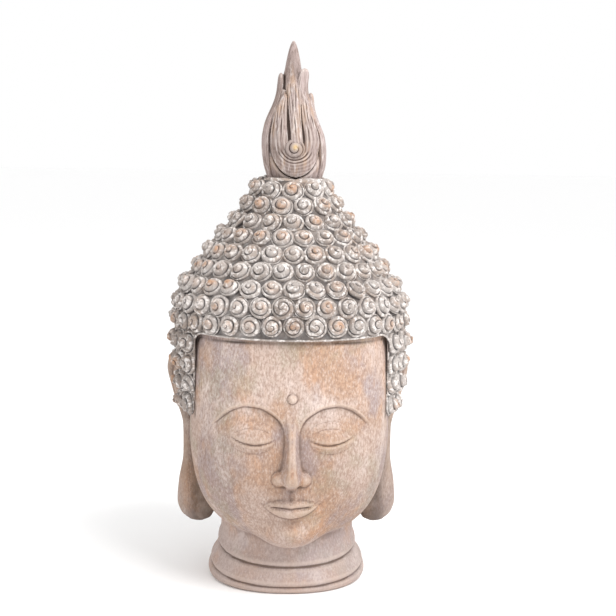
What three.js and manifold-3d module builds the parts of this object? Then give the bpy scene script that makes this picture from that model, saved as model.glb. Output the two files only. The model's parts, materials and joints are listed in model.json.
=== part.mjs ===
// A cast-stone Buddha head for a garden or a room, with a flame finial on its crown.
//
// Two separate castings make the object:
//   head           face, snail-curl hair, long ears and ringed neck, one closed solid on a flat foot
//   flame_finial   the flame, which stands in a shallow collar on top of the head
//
// Millimetres, +Z up. The face looks towards -Y and +X is on its left-hand side.
// The origin is the centre of the flat underside of the neck.

import * as THREE from "three";
import { ConvexHull } from "three/addons/math/ConvexHull.js";
import { mergeVertices } from "three/addons/utils/BufferGeometryUtils.js";
import Module from "manifold-3d";

const wasm = await Module();
wasm.setup();

// ---------------------------------------------------------------- driving dimensions

const TOTAL_HEIGHT = 760;
const CROWN_Z = 567; // top of the hair, where the flame stands
const HAIRLINE_Z = 361; // lower edge of the hair over the middle of the forehead
const CHIN_Z = 70; // lowest point of the chin
const FACE_HALF_WIDTH = 131; // from the centre line to the hair beside the temple
const FACE_FRONT = 152; // how far the forehead stands in front of the axis
const SKULL_BACK = 132; // how far the skull goes behind the axis, under the hair
const SKULL_MIDDLE_Z = 360; // every point of the hair can be seen from here, on the axis
const SIDEBURN_Z = 240; // lower end of the hair in front of the ears
const NAPE_Z = 155; // lower end of the hair at the back

const CURL_TOP_RADIUS = 7.5;
const CURL_HEIGHT = 14;
const UPPER_PITCH = 29.6; // from one curl to the next along a row above the hairline
const LOWER_PITCH = 28.7; // the same in the rows beside and behind the face
const SIDE_CURL_GROWTH = 1.2; // the curls beside the face stand taller than the others

const EAR_TOP_Z = 321;
const EAR_BOTTOM_Z = 71;
const EAR_Y = 18; // how far the middle of the ear stands behind the axis
const EAR_HALF_WIDTH = 30;

const COLLAR_RADIUS = 43;
const COLLAR_HEIGHT = 4;
const CROWN_OFFSET = 4.2; // from the centre line to the middle of the flame's foot and its collar
const JOINT_GAP = 0.3; // clearance between the flame and the head

// The face is divided in three equal bands, hairline to brow, brow to nose, nose to chin.
const BAND = (HAIRLINE_Z - CHIN_Z) / 3;
const BROW_Z = HAIRLINE_Z - BAND;
const NOSE_Z = BROW_Z - BAND;
const EYE_Z = BROW_Z - BAND / 3;
const MOUTH_Z = NOSE_Z - BAND / 3;
const EYE_WIDTH = (2 * FACE_HALF_WIDTH) / 5;
const EYE_X = EYE_WIDTH; // one eye width lies between the two eyes
const MOUTH_HALF_WIDTH = 0.73 * EYE_WIDTH;

// ---------------------------------------------------------------- small maths

const { PI, abs, cos, exp, hypot, max, min, round, sin, sqrt, tan } = Math;
const clamp = (t, low = 0, high = 1) => max(low, min(high, t));
const mix = (a, b, t) => a + (b - a) * t;
const bell = (d, width) => exp(-((d / width) ** 2));
const dome = (a, b) => sqrt(max(0, 1 - a * a - b * b));

function step(low, high, value) {
  const t = clamp((value - low) / (high - low));
  return t * t * (3 - 2 * t);
}

// Smooth minimum and maximum: the two shapes flow into each other over a width of k.
function smoothMin(a, b, k) {
  const h = max(k - abs(a - b), 0) / k;
  return min(a, b) - (h * h * k) / 4;
}
const smoothMax = (a, b, k) => -smoothMin(-a, -b, k);

// A smooth curve through stations [[t, value], ...], monotone between them.
function through(stations) {
  const n = stations.length;
  const slope = stations
    .slice(1)
    .map(([t, v], i) => (v - stations[i][1]) / (t - stations[i][0]));
  const tangent = stations.map((_, i) => {
    if (i === 0) return slope[0];
    if (i === n - 1) return slope[n - 2];
    const [a, b] = [slope[i - 1], slope[i]];
    return a * b <= 0 ? 0 : (2 * a * b) / (a + b);
  });
  return (t) => {
    if (t <= stations[0][0]) return stations[0][1];
    if (t >= stations[n - 1][0]) return stations[n - 1][1];
    let i = 0;
    while (t > stations[i + 1][0]) i += 1;
    const [t0, v0] = stations[i];
    const [t1, v1] = stations[i + 1];
    const w = t1 - t0;
    const s = (t - t0) / w;
    return (
      v0 * (1 + 2 * s) * (1 - s) ** 2 +
      tangent[i] * w * s * (1 - s) ** 2 +
      v1 * s * s * (3 - 2 * s) +
      tangent[i + 1] * w * s * s * (s - 1)
    );
  };
}

// ---------------------------------------------------------------- meshes and solids

// A closed mesh from rings of points, bottom ring first, each ring anticlockwise from above.
// The quads of the first half of every ring are split one way and the rest the other way, so a
// shape with a left and a right side stays even.
function loft(rings) {
  const count = rings[0].length;
  const points = rings.flat();
  const faces = [];
  rings.slice(1).forEach((_, r) => {
    for (let i = 0; i < count; i += 1) {
      const j = (i + 1) % count;
      const [a, b] = [r * count + i, r * count + j];
      const [c, d] = [a + count, b + count];
      if (i < count / 2) faces.push(a, b, d, a, d, c);
      else faces.push(a, b, c, b, d, c);
    }
  });
  const centre = (ring) =>
    ring
      .reduce((sum, p) => sum.add(p), new THREE.Vector3())
      .divideScalar(count);
  const last = (rings.length - 1) * count;
  const low = points.push(centre(rings[0])) - 1;
  const high = points.push(centre(rings.at(-1))) - 1;
  for (let i = 0; i < count; i += 1) {
    const j = (i + 1) % count;
    faces.push(low, j, i, high, last + i, last + j);
  }
  const geometry = new THREE.BufferGeometry().setFromPoints(points);
  return geometry.setIndex(faces);
}

function solid(geometry) {
  const plain = geometry.clone();
  plain.deleteAttribute("normal");
  plain.deleteAttribute("uv");
  const merged = mergeVertices(plain, 1e-3);
  return new wasm.Manifold(
    new wasm.Mesh({
      numProp: 3,
      vertProperties: new Float32Array(merged.attributes.position.array),
      triVerts: new Uint32Array(merged.index.array),
    }),
  );
}

function geometryOf(body) {
  const mesh = body.getMesh();
  return new THREE.BufferGeometry()
    .setAttribute(
      "position",
      new THREE.BufferAttribute(mesh.vertProperties, 3),
    )
    .setIndex(new THREE.BufferAttribute(mesh.triVerts, 1));
}

// Joins many bodies pairwise, which keeps each boolean small.
function joinAll(bodies) {
  let left = bodies;
  while (left.length > 1) {
    const next = [];
    for (let i = 0; i < left.length; i += 2) {
      next.push(i + 1 < left.length ? left[i].add(left[i + 1]) : left[i]);
    }
    left = next;
  }
  return left[0];
}

// The body with every closed hollow filled, so only its outer skin is left.
function filled(body) {
  return body.decompose().reduce((a, b) => (b.volume() > a.volume() ? b : a));
}

// ---------------------------------------------------------------- face and skull

// Distance along the ray from an ellipsoid's middle, with a squareness exponent n.
function ellipsoid(p, centre, radii, n = 2) {
  const d = [p.x - centre[0], p.y - centre[1], p.z - centre[2]];
  const k = d.reduce((sum, v, i) => sum + abs(v / radii[i]) ** n, 0) ** (1 / n);
  return hypot(...d) * (1 - 1 / max(k, 1e-6));
}

const neckSide = through([
  [0, 107],
  [3, 111],
  [10, 113],
  [26, 108],
  [45, 100],
  [75, 95],
  [130, 96],
  [200, 100],
]);
const neckFront = through([
  [0, 104],
  [3, 108],
  [10, 110],
  [30, 106],
  [60, 98],
  [90, 92],
]);
const neckBack = through([
  [0, 107],
  [3, 111],
  [10, 113],
  [40, 104],
  [90, 98],
  [150, 104],
  [200, 112],
]);

// Two carved folds ring the neck. Each is given by its height at the side of the neck and by how
// far it hangs lower in front.
const NECK_FOLDS = [
  { side: 22, droop: 12.5 },
  { side: 50, droop: 13.5 },
];
const NECK_SQUARENESS = 2.2;

function neck(p) {
  const front = p.y < 0;
  const [a, b] = [neckSide(p.z), front ? neckFront(p.z) : neckBack(p.z)];
  const n = NECK_SQUARENESS;
  const k = (abs(p.x / a) ** n + abs(p.y / b) ** n) ** (1 / n);
  const r = hypot(p.x, p.y);
  const forward = -p.y / max(r, 1e-6);
  const fold = NECK_FOLDS.reduce((sum, { side, droop }) => {
    const above = p.z - side + droop * forward;
    return sum + 3.2 * bell(above, 2.8) - 1.6 * bell(above - 6, 5);
  }, 0);
  return r * (1 - 1 / max(k, 1e-6)) + fold;
}

function skull(p) {
  const front = p.y < 0;
  const radii = [FACE_HALF_WIDTH + 9, front ? FACE_FRONT + 1 : SKULL_BACK, 180];
  const brain = ellipsoid(p, [0, 0, 285], radii, front ? 2.9 : 2.6);
  const jaw = ellipsoid(p, [0, -26, 180], [129, 124, 112], 2.4);
  const chin = ellipsoid(p, [0, -106, CHIN_Z + 31], [40, 38, 31], 2);
  return smoothMin(smoothMin(brain, jaw, 30), chin, 26);
}

// Height of the brow's edge over the eye's middle, outwards from the side of the nose.
const browLine = through([
  [8, BROW_Z - 30],
  [14, BROW_Z - 13],
  [26, BROW_Z - 1],
  [44, BROW_Z + 8],
  [60, BROW_Z + 10],
  [78, BROW_Z + 5],
  [92, BROW_Z - 5],
  [106, BROW_Z - 20],
]);

// The nose in profile, from under its tip up to its root, over the plain face.
const noseRise = through([
  [NOSE_Z - 10, 0],
  [NOSE_Z - 4, 9],
  [NOSE_Z + 1, 24],
  [NOSE_Z + 7, 32],
  [NOSE_Z + 13, 33],
  [NOSE_Z + 24, 28],
  [EYE_Z, 13],
  [BROW_Z - 12, 6],
  [BROW_Z + 10, 0],
]);
const noseHalfWidth = through([
  [NOSE_Z - 6, 10],
  [NOSE_Z + 10, 14],
  [NOSE_Z + 26, 10],
  [EYE_Z, 7.5],
  [BROW_Z, 10],
]);

function eyeRelief(ax, z) {
  const below = browLine(ax) - z;
  const depth = 11 * step(112, 84, ax) * step(2, 22, ax);
  const socket = depth * step(-3, 8, below) * (1 - step(12, 46, below));
  const ex = (ax - EYE_X) / (0.62 * EYE_WIDTH);
  const ez = (z - EYE_Z) / (0.4 * EYE_WIDTH);
  const ball = sqrt(max(0, 1 - ex * ex - ez * ez));
  const slit = EYE_Z - 8 + 2 * ex * ex;
  const lid = 11 * ball * (0.6 + 0.4 * step(slit - 1, slit + 2, z));
  return lid - socket;
}

function mouthRelief(ax, z) {
  const mx = clamp(ax / MOUTH_HALF_WIDTH);
  const line = MOUTH_Z + 2 * mx * mx;
  const upper = 11.5 * (1 - mx ** 1.6) - 2.6 * bell(ax, 5);
  const lower = 14 * (1 - mx ** 2.4);
  const roll = (t) => sqrt(max(0, 1 - (2 * t - 1) ** 2));
  const upperLip = 6.2 * roll((z - line) / max(upper, 0.1));
  const lowerLip = 8.4 * roll((line - z) / max(lower, 0.1));
  const lips = (upperLip + lowerLip) * dome(mx, 0);
  const mound = 6 * bell(ax, 46) * bell(z - MOUTH_Z, 30);
  const hollow = 5 * bell(ax, 25) * bell(z - MOUTH_Z + 23, 8);
  const chin = 4.5 * bell(ax, 24) * bell(z - CHIN_Z - 27, 15);
  return lips + mound - hollow + chin;
}

function noseRelief(ax, z) {
  const half = noseHalfWidth(z);
  const ridge = noseRise(z) * (1 - step(0.3 * half, 1.5 * half, ax));
  const wing = 17 * dome((ax - 16.5) / 10.5, (z - NOSE_Z - 8) / 10);
  return smoothMax(ridge, wing, 6);
}

// Height of the face's carving over the plain skull, at x and z in front view.
function relief(x, z) {
  const ax = abs(x);
  const cheek = 5 * bell(ax - 64, 36) * bell(z - NOSE_Z - 14, 38);
  return eyeRelief(ax, z) + mouthRelief(ax, z) + cheek + noseRelief(ax, z) - 1;
}

// Signed distance from the skin of face, skull and neck, taken along level rays.
function skin(p) {
  const facing = step(-30, -70, p.y);
  const carved = skull(p) - facing * relief(p.x, p.z);
  return smoothMin(carved, neck(p), 9);
}

// The outermost point of a ray that meets the skin.
function castRay(origin, direction) {
  const at = (r) => origin.clone().addScaledVector(direction, r);
  let far = 240;
  while (far > 4 && skin(at(far)) > 0) far -= 4;
  let near = far;
  far += 4;
  for (let i = 0; i < 18; i += 1) {
    const r = (near + far) / 2;
    if (skin(at(r)) > 0) far = r;
    else near = r;
  }
  return at(near);
}

// Rows of rays that meet the skin, from the foot up. A row leaves the axis at a height. In front it
// drops at an angle in degrees, which meets the underside of the jaw squarely, and hangs lower by
// its lean, which follows the folds of the neck.
const SKIN_ROWS = [
  { z: 0, drop: 0, lean: 0 },
  { z: 3, drop: 0, lean: 1 },
  { z: 10, drop: 0, lean: 6 },
  { z: 18.5, drop: 0, lean: 12.5 },
  { z: 22, drop: 0, lean: 12.5 },
  { z: 25.5, drop: 0, lean: 12.5 },
  { z: 46.5, drop: 0, lean: 13.5 },
  { z: 50, drop: 0, lean: 13.5 },
  { z: 53.5, drop: 0, lean: 13.5 },
  { z: 64, drop: 3, lean: 11 },
  { z: 78, drop: 8, lean: 5 },
  { z: 92, drop: 14, lean: 0 },
  { z: 106, drop: 18, lean: 0 },
  { z: 119, drop: 19.5, lean: 0 },
  { z: 134, drop: 18.5, lean: 0 },
  { z: 149, drop: 16.5, lean: 0 },
];

// Heights at which the rows above the chin meet the front of the face: close together over the
// lips, the nose, the lids and the brows, and wide apart between them and over the forehead.
const FACE_ROWS = [
  ...[-14, -10, -6, -1.5, 2, 6, 10, 14].map((above) => MOUTH_Z + above),
  ...[-7, -2, 2, 7, 12, 18, 27].map((above) => NOSE_Z + above),
  ...[-28, -19, -9, -6, 0, 7, 14, 20].map((above) => EYE_Z + above),
  ...[-6, 1, 8, 16, 44, 80].map((above) => BROW_Z + above),
  HAIRLINE_Z + 10,
];
for (const landing of FACE_ROWS) {
  const drop = 14.5 * (1 - step(MOUTH_Z - 14, EYE_Z, landing));
  const rise = FACE_FRONT * tan((drop * PI) / 180);
  SKIN_ROWS.push({ z: landing + rise, drop, lean: 0 });
}

// Columns are close together by the nose and wide apart behind the cheeks.
function skinColumns() {
  const half = [0, 6, 12, 18, 25, 33, 42, 52, 62, 72, 82, 94, 108].map((x) =>
    Math.atan2(x, FACE_FRONT),
  );
  const right = [...half, 0.85, 1.2, 1.6, 2, 2.4, 2.8];
  return [...right.slice(1).map((turn) => -turn).reverse(), ...right];
}

function faceSolid() {
  const columns = skinColumns();
  const rings = SKIN_ROWS.map(({ z, drop, lean }) =>
    columns.map((turn) => {
      const forward = cos(turn);
      const down = (((drop * PI) / 180) * (1 + forward)) / 2;
      const origin = new THREE.Vector3(0, 0, z - lean * forward);
      const level = cos(down);
      const ray = new THREE.Vector3(sin(turn) * level, -forward * level, -sin(down));
      return castRay(origin, ray);
    }),
  );
  return solid(loft(rings));
}

// The round mark between the brows.
function foreheadMark() {
  const mark = new THREE.SphereGeometry(6, 6, 4);
  mark.translate(0, -FACE_FRONT, BROW_Z + 21);
  return solid(mark);
}

// ---------------------------------------------------------------- hair

const hairSide = through([
  [140, 116],
  [200, 136],
  [245, 147],
  [280, 152],
  [310, 156],
  [345, 159],
  [385, 159],
  [412, 154],
  [440, 134],
  [474, 110],
  [500, 88],
  [520, 72],
  [550, 54],
  [CROWN_Z, 44],
]);
const hairBack = through([
  [140, 112],
  [180, 128],
  [240, 150],
  [320, 163],
  [385, 163],
  [412, 157],
  [440, 137],
  [474, 112],
  [500, 89],
  [520, 72],
  [550, 54],
  [CROWN_Z, 44],
]);
const hairFront = (z) => max(hairSide(z), 159 * step(420, 400, z));
const HAIR_SQUARENESS = 2.2;

function hairPoint(turn, z) {
  const [s, c] = [sin(turn), cos(turn)];
  const [a, b] = [hairSide(z), c > 0 ? hairFront(z) : hairBack(z)];
  const n = HAIR_SQUARENESS;
  const r = (abs(s / a) ** n + abs(c / b) ** n) ** (-1 / n);
  return new THREE.Vector3(r * s, -r * c, z);
}

function hairNormal(turn, z) {
  const e = 0.5;
  const across = hairPoint(turn + e / 100, z).sub(hairPoint(turn - e / 100, z));
  const up = hairPoint(turn, z + e).sub(hairPoint(turn, z - e));
  return across.cross(up).normalize();
}

// Lower edge of the hair, from the nape behind to the sideburns in front of the ears.
const hairEdge = (turn) => mix(NAPE_Z, SIDEBURN_Z, step(-0.9, 0.2, cos(turn)));

// The opening of the hair around the face, with round upper corners and a brow line that sags a
// little in the middle.
const OPENING_CORNER = 13;
const OPENING_SAG = 5;
function faceOpening() {
  const [w, r, low] = [FACE_HALF_WIDTH, OPENING_CORNER, SIDEBURN_Z - 60];
  const top = HAIRLINE_Z + 2;
  const outline = new THREE.Shape();
  outline.moveTo(-w, low);
  outline.lineTo(w, low);
  outline.lineTo(w, top - r);
  outline.absarc(w - r, top - r, r, 0, PI / 2);
  outline.quadraticCurveTo(0, top - OPENING_SAG, r - w, top);
  outline.absarc(r - w, top - r, r, PI / 2, PI);
  const block = new THREE.ExtrudeGeometry(outline, {
    depth: 190,
    bevelEnabled: false,
    curveSegments: 3,
  });
  block.rotateX(PI / 2);
  return solid(block);
}

// Heights of the rows of curls, crown to nape. A row stands higher in front than at the sides by
// its lean, or lower where the lean is negative.
const CURL_ROWS = [557, 535, 512, 491, 469, 446, 423, 399, 374];
const LOWER_ROW_RISE = 29;
for (let z = 345; z > NAPE_Z + 8; z -= LOWER_ROW_RISE) CURL_ROWS.push(z);
const TOP_FACE_ROW = CURL_ROWS.findIndex((z) => z < HAIRLINE_Z);
const curlLean = (row) => mix(-4, 6, min(1, row / 8));
const EDGE_MARGIN = 9; // between the lower edge of the hair and the middle of the nearest curl
const BESIDE_FACE = 11; // from the face's edge to the middle of the first curl
const EAR_GAP = 41; // from the middle of the ear to the curls before and behind it

// The places of one row, as turns about the axis. Rows above the hairline run evenly all round.
// Lower rows start beside the face and stop at the ears, and bare places carry the hair's skin on
// under the ears and a little way into the face.
function rowPlaces(rowZ, row) {
  const heightAt = (turn) => rowZ + curlLean(row) * cos(turn);
  const place = (turn, grown) => {
    const z = heightAt(turn);
    return { at: hairPoint(turn, z), out: hairNormal(turn, z), turn, grown };
  };

  const samples = 180;
  const turns = Array.from({ length: samples + 1 }, (_, i) => (2 * PI * i) / samples);
  const ring = turns.map((turn) => hairPoint(turn, heightAt(turn)));
  const lengths = [0];
  ring.slice(1).forEach((p, i) => lengths.push(lengths[i] + p.distanceTo(ring[i])));
  const whole = lengths.at(-1);
  if (rowZ > HAIRLINE_Z) {
    const count = round(whole / UPPER_PITCH);
    const first = (row % 2) / 2;
    return Array.from({ length: count }, (_, i) =>
      place((2 * PI * (i + first)) / count, true),
    );
  }

  const turnAt = through(lengths.map((length, i) => [length, turns[i]]));
  const oneSide = samples / 2 + 1;
  const lengthAtY = through(ring.slice(0, oneSide).map((p, i) => [p.y, lengths[i]]));
  const evenly = (from, to, count) =>
    Array.from({ length: count }, (_, i) => mix(from, to, i / (count - 1)));
  const curlsBetween = (from, to) =>
    evenly(from, to, round((to - from) / LOWER_PITCH) + 1);
  const bothSides = (list) => [...list, ...list.map((length) => whole - length)];

  const edge = lengths[ring.findIndex((p) => p.x > FACE_HALF_WIDTH + 1)];
  const first = edge + BESIDE_FACE;
  const inFace = row === TOP_FACE_ROW ? evenly(0, first, 6).slice(0, -1) : [first - LOWER_PITCH];
  let grown = curlsBetween(first, whole - first);
  let bare = bothSides(inFace).filter((length) => length < whole);
  if (rowZ < EAR_TOP_Z) {
    const before = lengthAtY(EAR_Y - EAR_GAP);
    const behind = lengthAtY(EAR_Y + EAR_GAP);
    grown = [...bothSides(curlsBetween(first, before)), ...curlsBetween(behind, whole - behind)];
    bare = [...bare, ...bothSides(evenly(before, behind, 4).slice(1, -1))];
  }
  return [
    ...grown.map((length) => place(turnAt(length), true)),
    ...bare.map((length) => place(turnAt(length), false)),
  ];
}

// Every place on the hair, grown or bare.
function curlPlaces() {
  return CURL_ROWS.flatMap((rowZ, row) => rowPlaces(rowZ, row)).filter(
    ({ at, turn }) => at.z > hairEdge(turn) + EDGE_MARGIN,
  );
}

// Bare points that close the hair's skin: its lower edge, its underside and its flat crown.
function hairBorder() {
  const rim = Array.from({ length: 24 }, (_, i) => (2 * PI * i) / 24);
  const lower = rim.flatMap((turn, i) => {
    const edge = hairPoint(turn, hairEdge(turn));
    const under = edge.clone().multiply(new THREE.Vector3(0.7, 0.7, 1));
    return i % 3 === 0 ? [edge, under] : [edge];
  });
  const upper = rim
    .filter((_, i) => i % 3 === 0)
    .map((turn) => hairPoint(turn, CROWN_Z));
  const middles = [NAPE_Z, CROWN_Z].map((z) => new THREE.Vector3(0, 0, z));
  return [...lower, ...upper, ...middles].map((at) => ({ at, grown: false }));
}

// Triangles between points that lie all round a centre: the hull of their directions from it.
function trianglesAround(points, centre) {
  const directions = points.map((p) => p.clone().sub(centre).normalize());
  const order = new Map(directions.map((d, i) => [d, i]));
  return new ConvexHull().setFromPoints(directions).faces.map((face) => {
    const corners = [face.edge, face.edge.next, face.edge.next.next];
    return corners.map((edge) => order.get(edge.head().point));
  });
}

// The hair as one skin. A valley runs round every curl through the middles of the triangles that
// meet there. A grown curl is a flat-topped bump inside its valley and a bare place is flat.
function hairSkin() {
  const spots = [...curlPlaces(), ...hairBorder()];
  const centre = new THREE.Vector3(0, 0, SKULL_MIDDLE_Z);
  const positions = spots.map(({ at }) => at);
  const triangles = trianglesAround(positions, centre);
  const points = triangles.map((triangle) => {
    const middle = new THREE.Vector3();
    triangle.forEach((i) => middle.add(positions[i]));
    return ontoHair(middle.divideScalar(3));
  });

  const faces = [];
  spots.forEach(({ at, grown }, spot) => {
    const around = valleyRound(spot, triangles);
    const top = grown ? curlTop(spots[spot], around, points) : [points.push(at) - 1];
    around.forEach((valley, i) => {
      const j = (i + 1) % around.length;
      const [a, b] = [top[i % top.length], top[j % top.length]];
      faces.push(valley, around[j], b);
      if (a !== b) faces.push(valley, b, a);
    });
    const corners = [...new Set(top)];
    for (let i = 2; i < corners.length; i += 1) {
      faces.push(corners[0], corners[i - 1], corners[i]);
    }
  });
  const geometry = new THREE.BufferGeometry().setFromPoints(points);
  return solid(geometry.setIndex(faces));
}

// The flat top of one curl: for each valley around it, the corner that stands above. Every third
// valley shares the corner of the one before it. New corners are added to the points.
function curlTop({ at, out }, around, points) {
  const besideFace = at.y < 0 && at.z < HAIRLINE_Z;
  const height = CURL_HEIGHT * (besideFace ? SIDE_CURL_GROWTH : 1);
  const middle = at.clone().addScaledVector(out, height);
  const top = [];
  around.forEach((valley, i) => {
    if (i % 3 === 2) {
      top.push(top[i - 1]);
      return;
    }
    const inPlane = points[valley].clone().sub(at).projectOnPlane(out);
    top.push(points.push(middle.clone().add(inPlane.setLength(CURL_TOP_RADIUS))) - 1);
  });
  return top;
}

// A point just under the hair's surface is lifted onto it. One that lies deep inside stays.
function ontoHair(p) {
  const surface = hairPoint(Math.atan2(p.x, -p.y), p.z);
  const near = hypot(p.x, p.y) > 0.9 * hypot(surface.x, surface.y);
  return near ? surface : p;
}

// The triangles round one spot, in turning order.
function valleyRound(spot, triangles) {
  const byFirst = new Map();
  triangles.forEach((triangle, t) => {
    const i = triangle.indexOf(spot);
    if (i < 0) return;
    byFirst.set(triangle[(i + 1) % 3], { t, then: triangle[(i + 2) % 3] });
  });
  const [start] = byFirst.keys();
  const ring = [];
  let key = start;
  do {
    const { t, then } = byFirst.get(key);
    ring.push(t);
    key = then;
  } while (key !== start);
  return ring;
}

// The low collar on the crown that the flame stands in, and the round seat inside it.
const COLLAR_SIDES = 12;
const SEAT_RADIUS = COLLAR_RADIUS - 3;

function crownCollar() {
  const outline = [
    [0, CROWN_Z - 8],
    [COLLAR_RADIUS + 3, CROWN_Z - 8],
    [COLLAR_RADIUS, CROWN_Z + COLLAR_HEIGHT],
    [SEAT_RADIUS, CROWN_Z + COLLAR_HEIGHT],
    [SEAT_RADIUS, CROWN_Z],
    [0, CROWN_Z],
  ].map(([r, z]) => new THREE.Vector2(r, z));
  const ring = new THREE.LatheGeometry(outline, COLLAR_SIDES);
  ring.rotateX(PI / 2);
  ring.translate(CROWN_OFFSET, 0, 0);
  return solid(ring);
}

function crownSeat() {
  const depth = 30;
  const seat = new THREE.CylinderGeometry(SEAT_RADIUS, SEAT_RADIUS, depth, COLLAR_SIDES);
  seat.rotateX(PI / 2);
  seat.translate(CROWN_OFFSET, 0, CROWN_Z + depth / 2);
  return solid(seat);
}

// ---------------------------------------------------------------- ears

// One ear from the end of its lobe to its top: the distance of its middle from the centre
// line, its half width, its half thickness and how far its face turns towards the front.
const earX = through([
  [EAR_BOTTOM_Z, 132],
  [110, 132.5],
  [170, 134],
  [220, 138],
  [260, 150],
  [300, 159],
  [EAR_TOP_Z, 159],
]);
const earHalfWidth = through([
  [EAR_BOTTOM_Z, 12],
  [78, 25],
  [96, 33],
  [125, 30],
  [170, 21],
  [210, 21],
  [250, 27],
  [290, EAR_HALF_WIDTH],
  [312, 23],
  [EAR_TOP_Z, 8],
]);
const earHalfThickness = through([
  [EAR_BOTTOM_Z, 7],
  [82, 13],
  [110, 15],
  [170, 12],
  [220, 9],
  [312, 8],
  [EAR_TOP_Z, 5],
]);
const earTurn = through([
  [EAR_BOTTOM_Z, 0.95],
  [130, 0.95],
  [250, 0.6],
  [300, 0.48],
]);

function ear(side) {
  const heights = [EAR_BOTTOM_Z, 77, 90, 108, 140, 180, 220, 255, 288, 310, EAR_TOP_Z];
  const corners = 7;
  const rings = heights.map((z) =>
    Array.from({ length: corners }, (_, i) => {
      const a = (-side * 2 * PI * i) / corners;
      const wide = earHalfWidth(z) * cos(a);
      const thick = earHalfThickness(z) * sin(a);
      const [s, c] = [sin(earTurn(z)), cos(earTurn(z))];
      const x = earX(z) + wide * s + thick * c;
      const y = EAR_Y + wide * c - thick * s;
      return new THREE.Vector3(side * x, y, z);
    }),
  );
  const hollow = new THREE.SphereGeometry(1, 8, 6);
  hollow.rotateX(PI / 2);
  hollow.scale(9, 17, 40);
  hollow.rotateZ(-side * 0.5);
  hollow.translate(side * 166, EAR_Y - 6, 270);
  return solid(loft(rings)).subtract(solid(hollow));
}

// ---------------------------------------------------------------- flame finial

const FLAME_FOOT_Z = CROWN_Z + JOINT_GAP;
const BELLY_Z = 609;

// Half width of the flame's round core from foot to tip.
const flameCore = through([
  [FLAME_FOOT_Z, 33],
  [578, 36],
  [590, 38.5],
  [BELLY_Z, 39.5],
  [626, 38.5],
  [643, 35],
  [659, 31],
  [676, 25.5],
  [690, 20.5],
  [705, 15.5],
  [721, 11.5],
  [735, 9],
  [748, 6.2],
  [756, 3.6],
  [TOTAL_HEIGHT, 1.2],
]);
const FLAME_DEPTH = 0.92; // the core is a little shallower than wide

// The flame's foot stands a little to one side of the crown's middle and its tip is centred.
const flameLean = (z) => CROWN_OFFSET * step(668, FLAME_FOOT_Z, z);

function flameHeart() {
  const heights = [FLAME_FOOT_Z, 588, 612, 636, 659, 682, 708, 735, TOTAL_HEIGHT];
  const corners = 10;
  const rings = heights.map((z) =>
    Array.from({ length: corners }, (_, i) => {
      const a = (2 * PI * i) / corners;
      const r = flameCore(z);
      return new THREE.Vector3(r * cos(a) + flameLean(z), FLAME_DEPTH * r * sin(a), z);
    }),
  );
  return solid(loft(rings));
}

const tongueSwell = through([
  [0, 0.75],
  [0.35, 1],
  [0.7, 0.85],
  [0.88, 0.74],
  [0.96, 0.56],
  [1, 0.2],
]);
const TONGUE_HALF_DEPTH = 7;

// A tongue of the flame. It leaves the foot at its turn about the axis, hugs the core past the
// belly and ends in a free tip that stands reach away from the axis.
function tongue({ turn, tip, reach, width, lift }) {
  const levels = [0, 0.3, 0.6, 0.85, 1];
  const corners = 6;
  const rings = levels.map((t) => {
    const z = mix(FLAME_FOOT_Z, tip, t);
    const hug = flameCore(z) + lift - TONGUE_HALF_DEPTH;
    const out = mix(hug, reach, step(0.5, 1, t));
    const swell = tongueSwell(t);
    return Array.from({ length: corners }, (_, i) => {
      const a = (2 * PI * i) / corners;
      const radial = out + TONGUE_HALF_DEPTH * swell * cos(a);
      const along = width * swell * sin(a);
      return new THREE.Vector3(
        radial * sin(turn) + along * cos(turn) + flameLean(z),
        along * sin(turn) - radial * cos(turn),
        z,
      );
    });
  });
  return solid(loft(rings));
}

// The bib on the front and back of the flame, with a scroll boss in its middle.
const BIB_HALF_WIDTH = 32.5;
const BOSS_RADIUS = 14;
function bib(face) {
  const middle = BELLY_Z + 2;
  const surface = FLAME_DEPTH * flameCore(middle);
  const shield = new THREE.SphereGeometry(1, 8, 5);
  shield.scale(BIB_HALF_WIDTH, 12, 42);
  shield.translate(flameLean(middle), face * (surface - 6), middle);
  const boss = new THREE.CylinderGeometry(6, BOSS_RADIUS, 9, 8);
  boss.rotateX(face < 0 ? PI : 0);
  boss.translate(flameLean(middle), face * (surface + 8), middle);
  const below = new THREE.BoxGeometry(120, 120, 60);
  below.translate(0, 0, FLAME_FOOT_Z - 30);
  return solid(shield).add(solid(boss)).subtract(solid(below));
}

const TONGUES = [
  { turn: -PI / 2, tip: 716, reach: 17, width: 19, lift: 6 },
  { turn: PI / 2, tip: 689, reach: 25, width: 20, lift: 6 },
  { turn: 0.9, tip: 722, reach: 19, width: 13, lift: 3.5 },
  { turn: -0.75, tip: 693, reach: 17, width: 13, lift: 3 },
  { turn: PI + 0.8, tip: 715, reach: 18, width: 13, lift: 3 },
  { turn: PI - 0.75, tip: 695, reach: 18, width: 13, lift: 3 },
];

function flame() {
  return filled(joinAll([flameHeart(), ...TONGUES.map(tongue), bib(-1), bib(1)]));
}

// ---------------------------------------------------------------- assembly

// Facets that differ from flat by less than this are joined, which thins the seams of the solids.
const FLATNESS = 0.15;

function stone(name, body, colour) {
  const material = new THREE.MeshStandardMaterial({
    color: colour,
    roughness: 0.9,
    metalness: 0,
  });
  const mesh = new THREE.Mesh(geometryOf(body.simplify(FLATNESS)), material);
  mesh.name = name;
  return mesh;
}

const hair = hairSkin()
  .subtract(faceOpening())
  .subtract(crownSeat())
  .add(crownCollar());
const head = joinAll([faceSolid(), foreheadMark(), ear(-1), ear(1)]).add(hair);

const buddhaHead = new THREE.Group();
buddhaHead.add(stone("head", head, 0xc9ab98));
buddhaHead.add(stone("flame_finial", flame(), 0xb9a79e));

export default buddhaHead;
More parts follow.
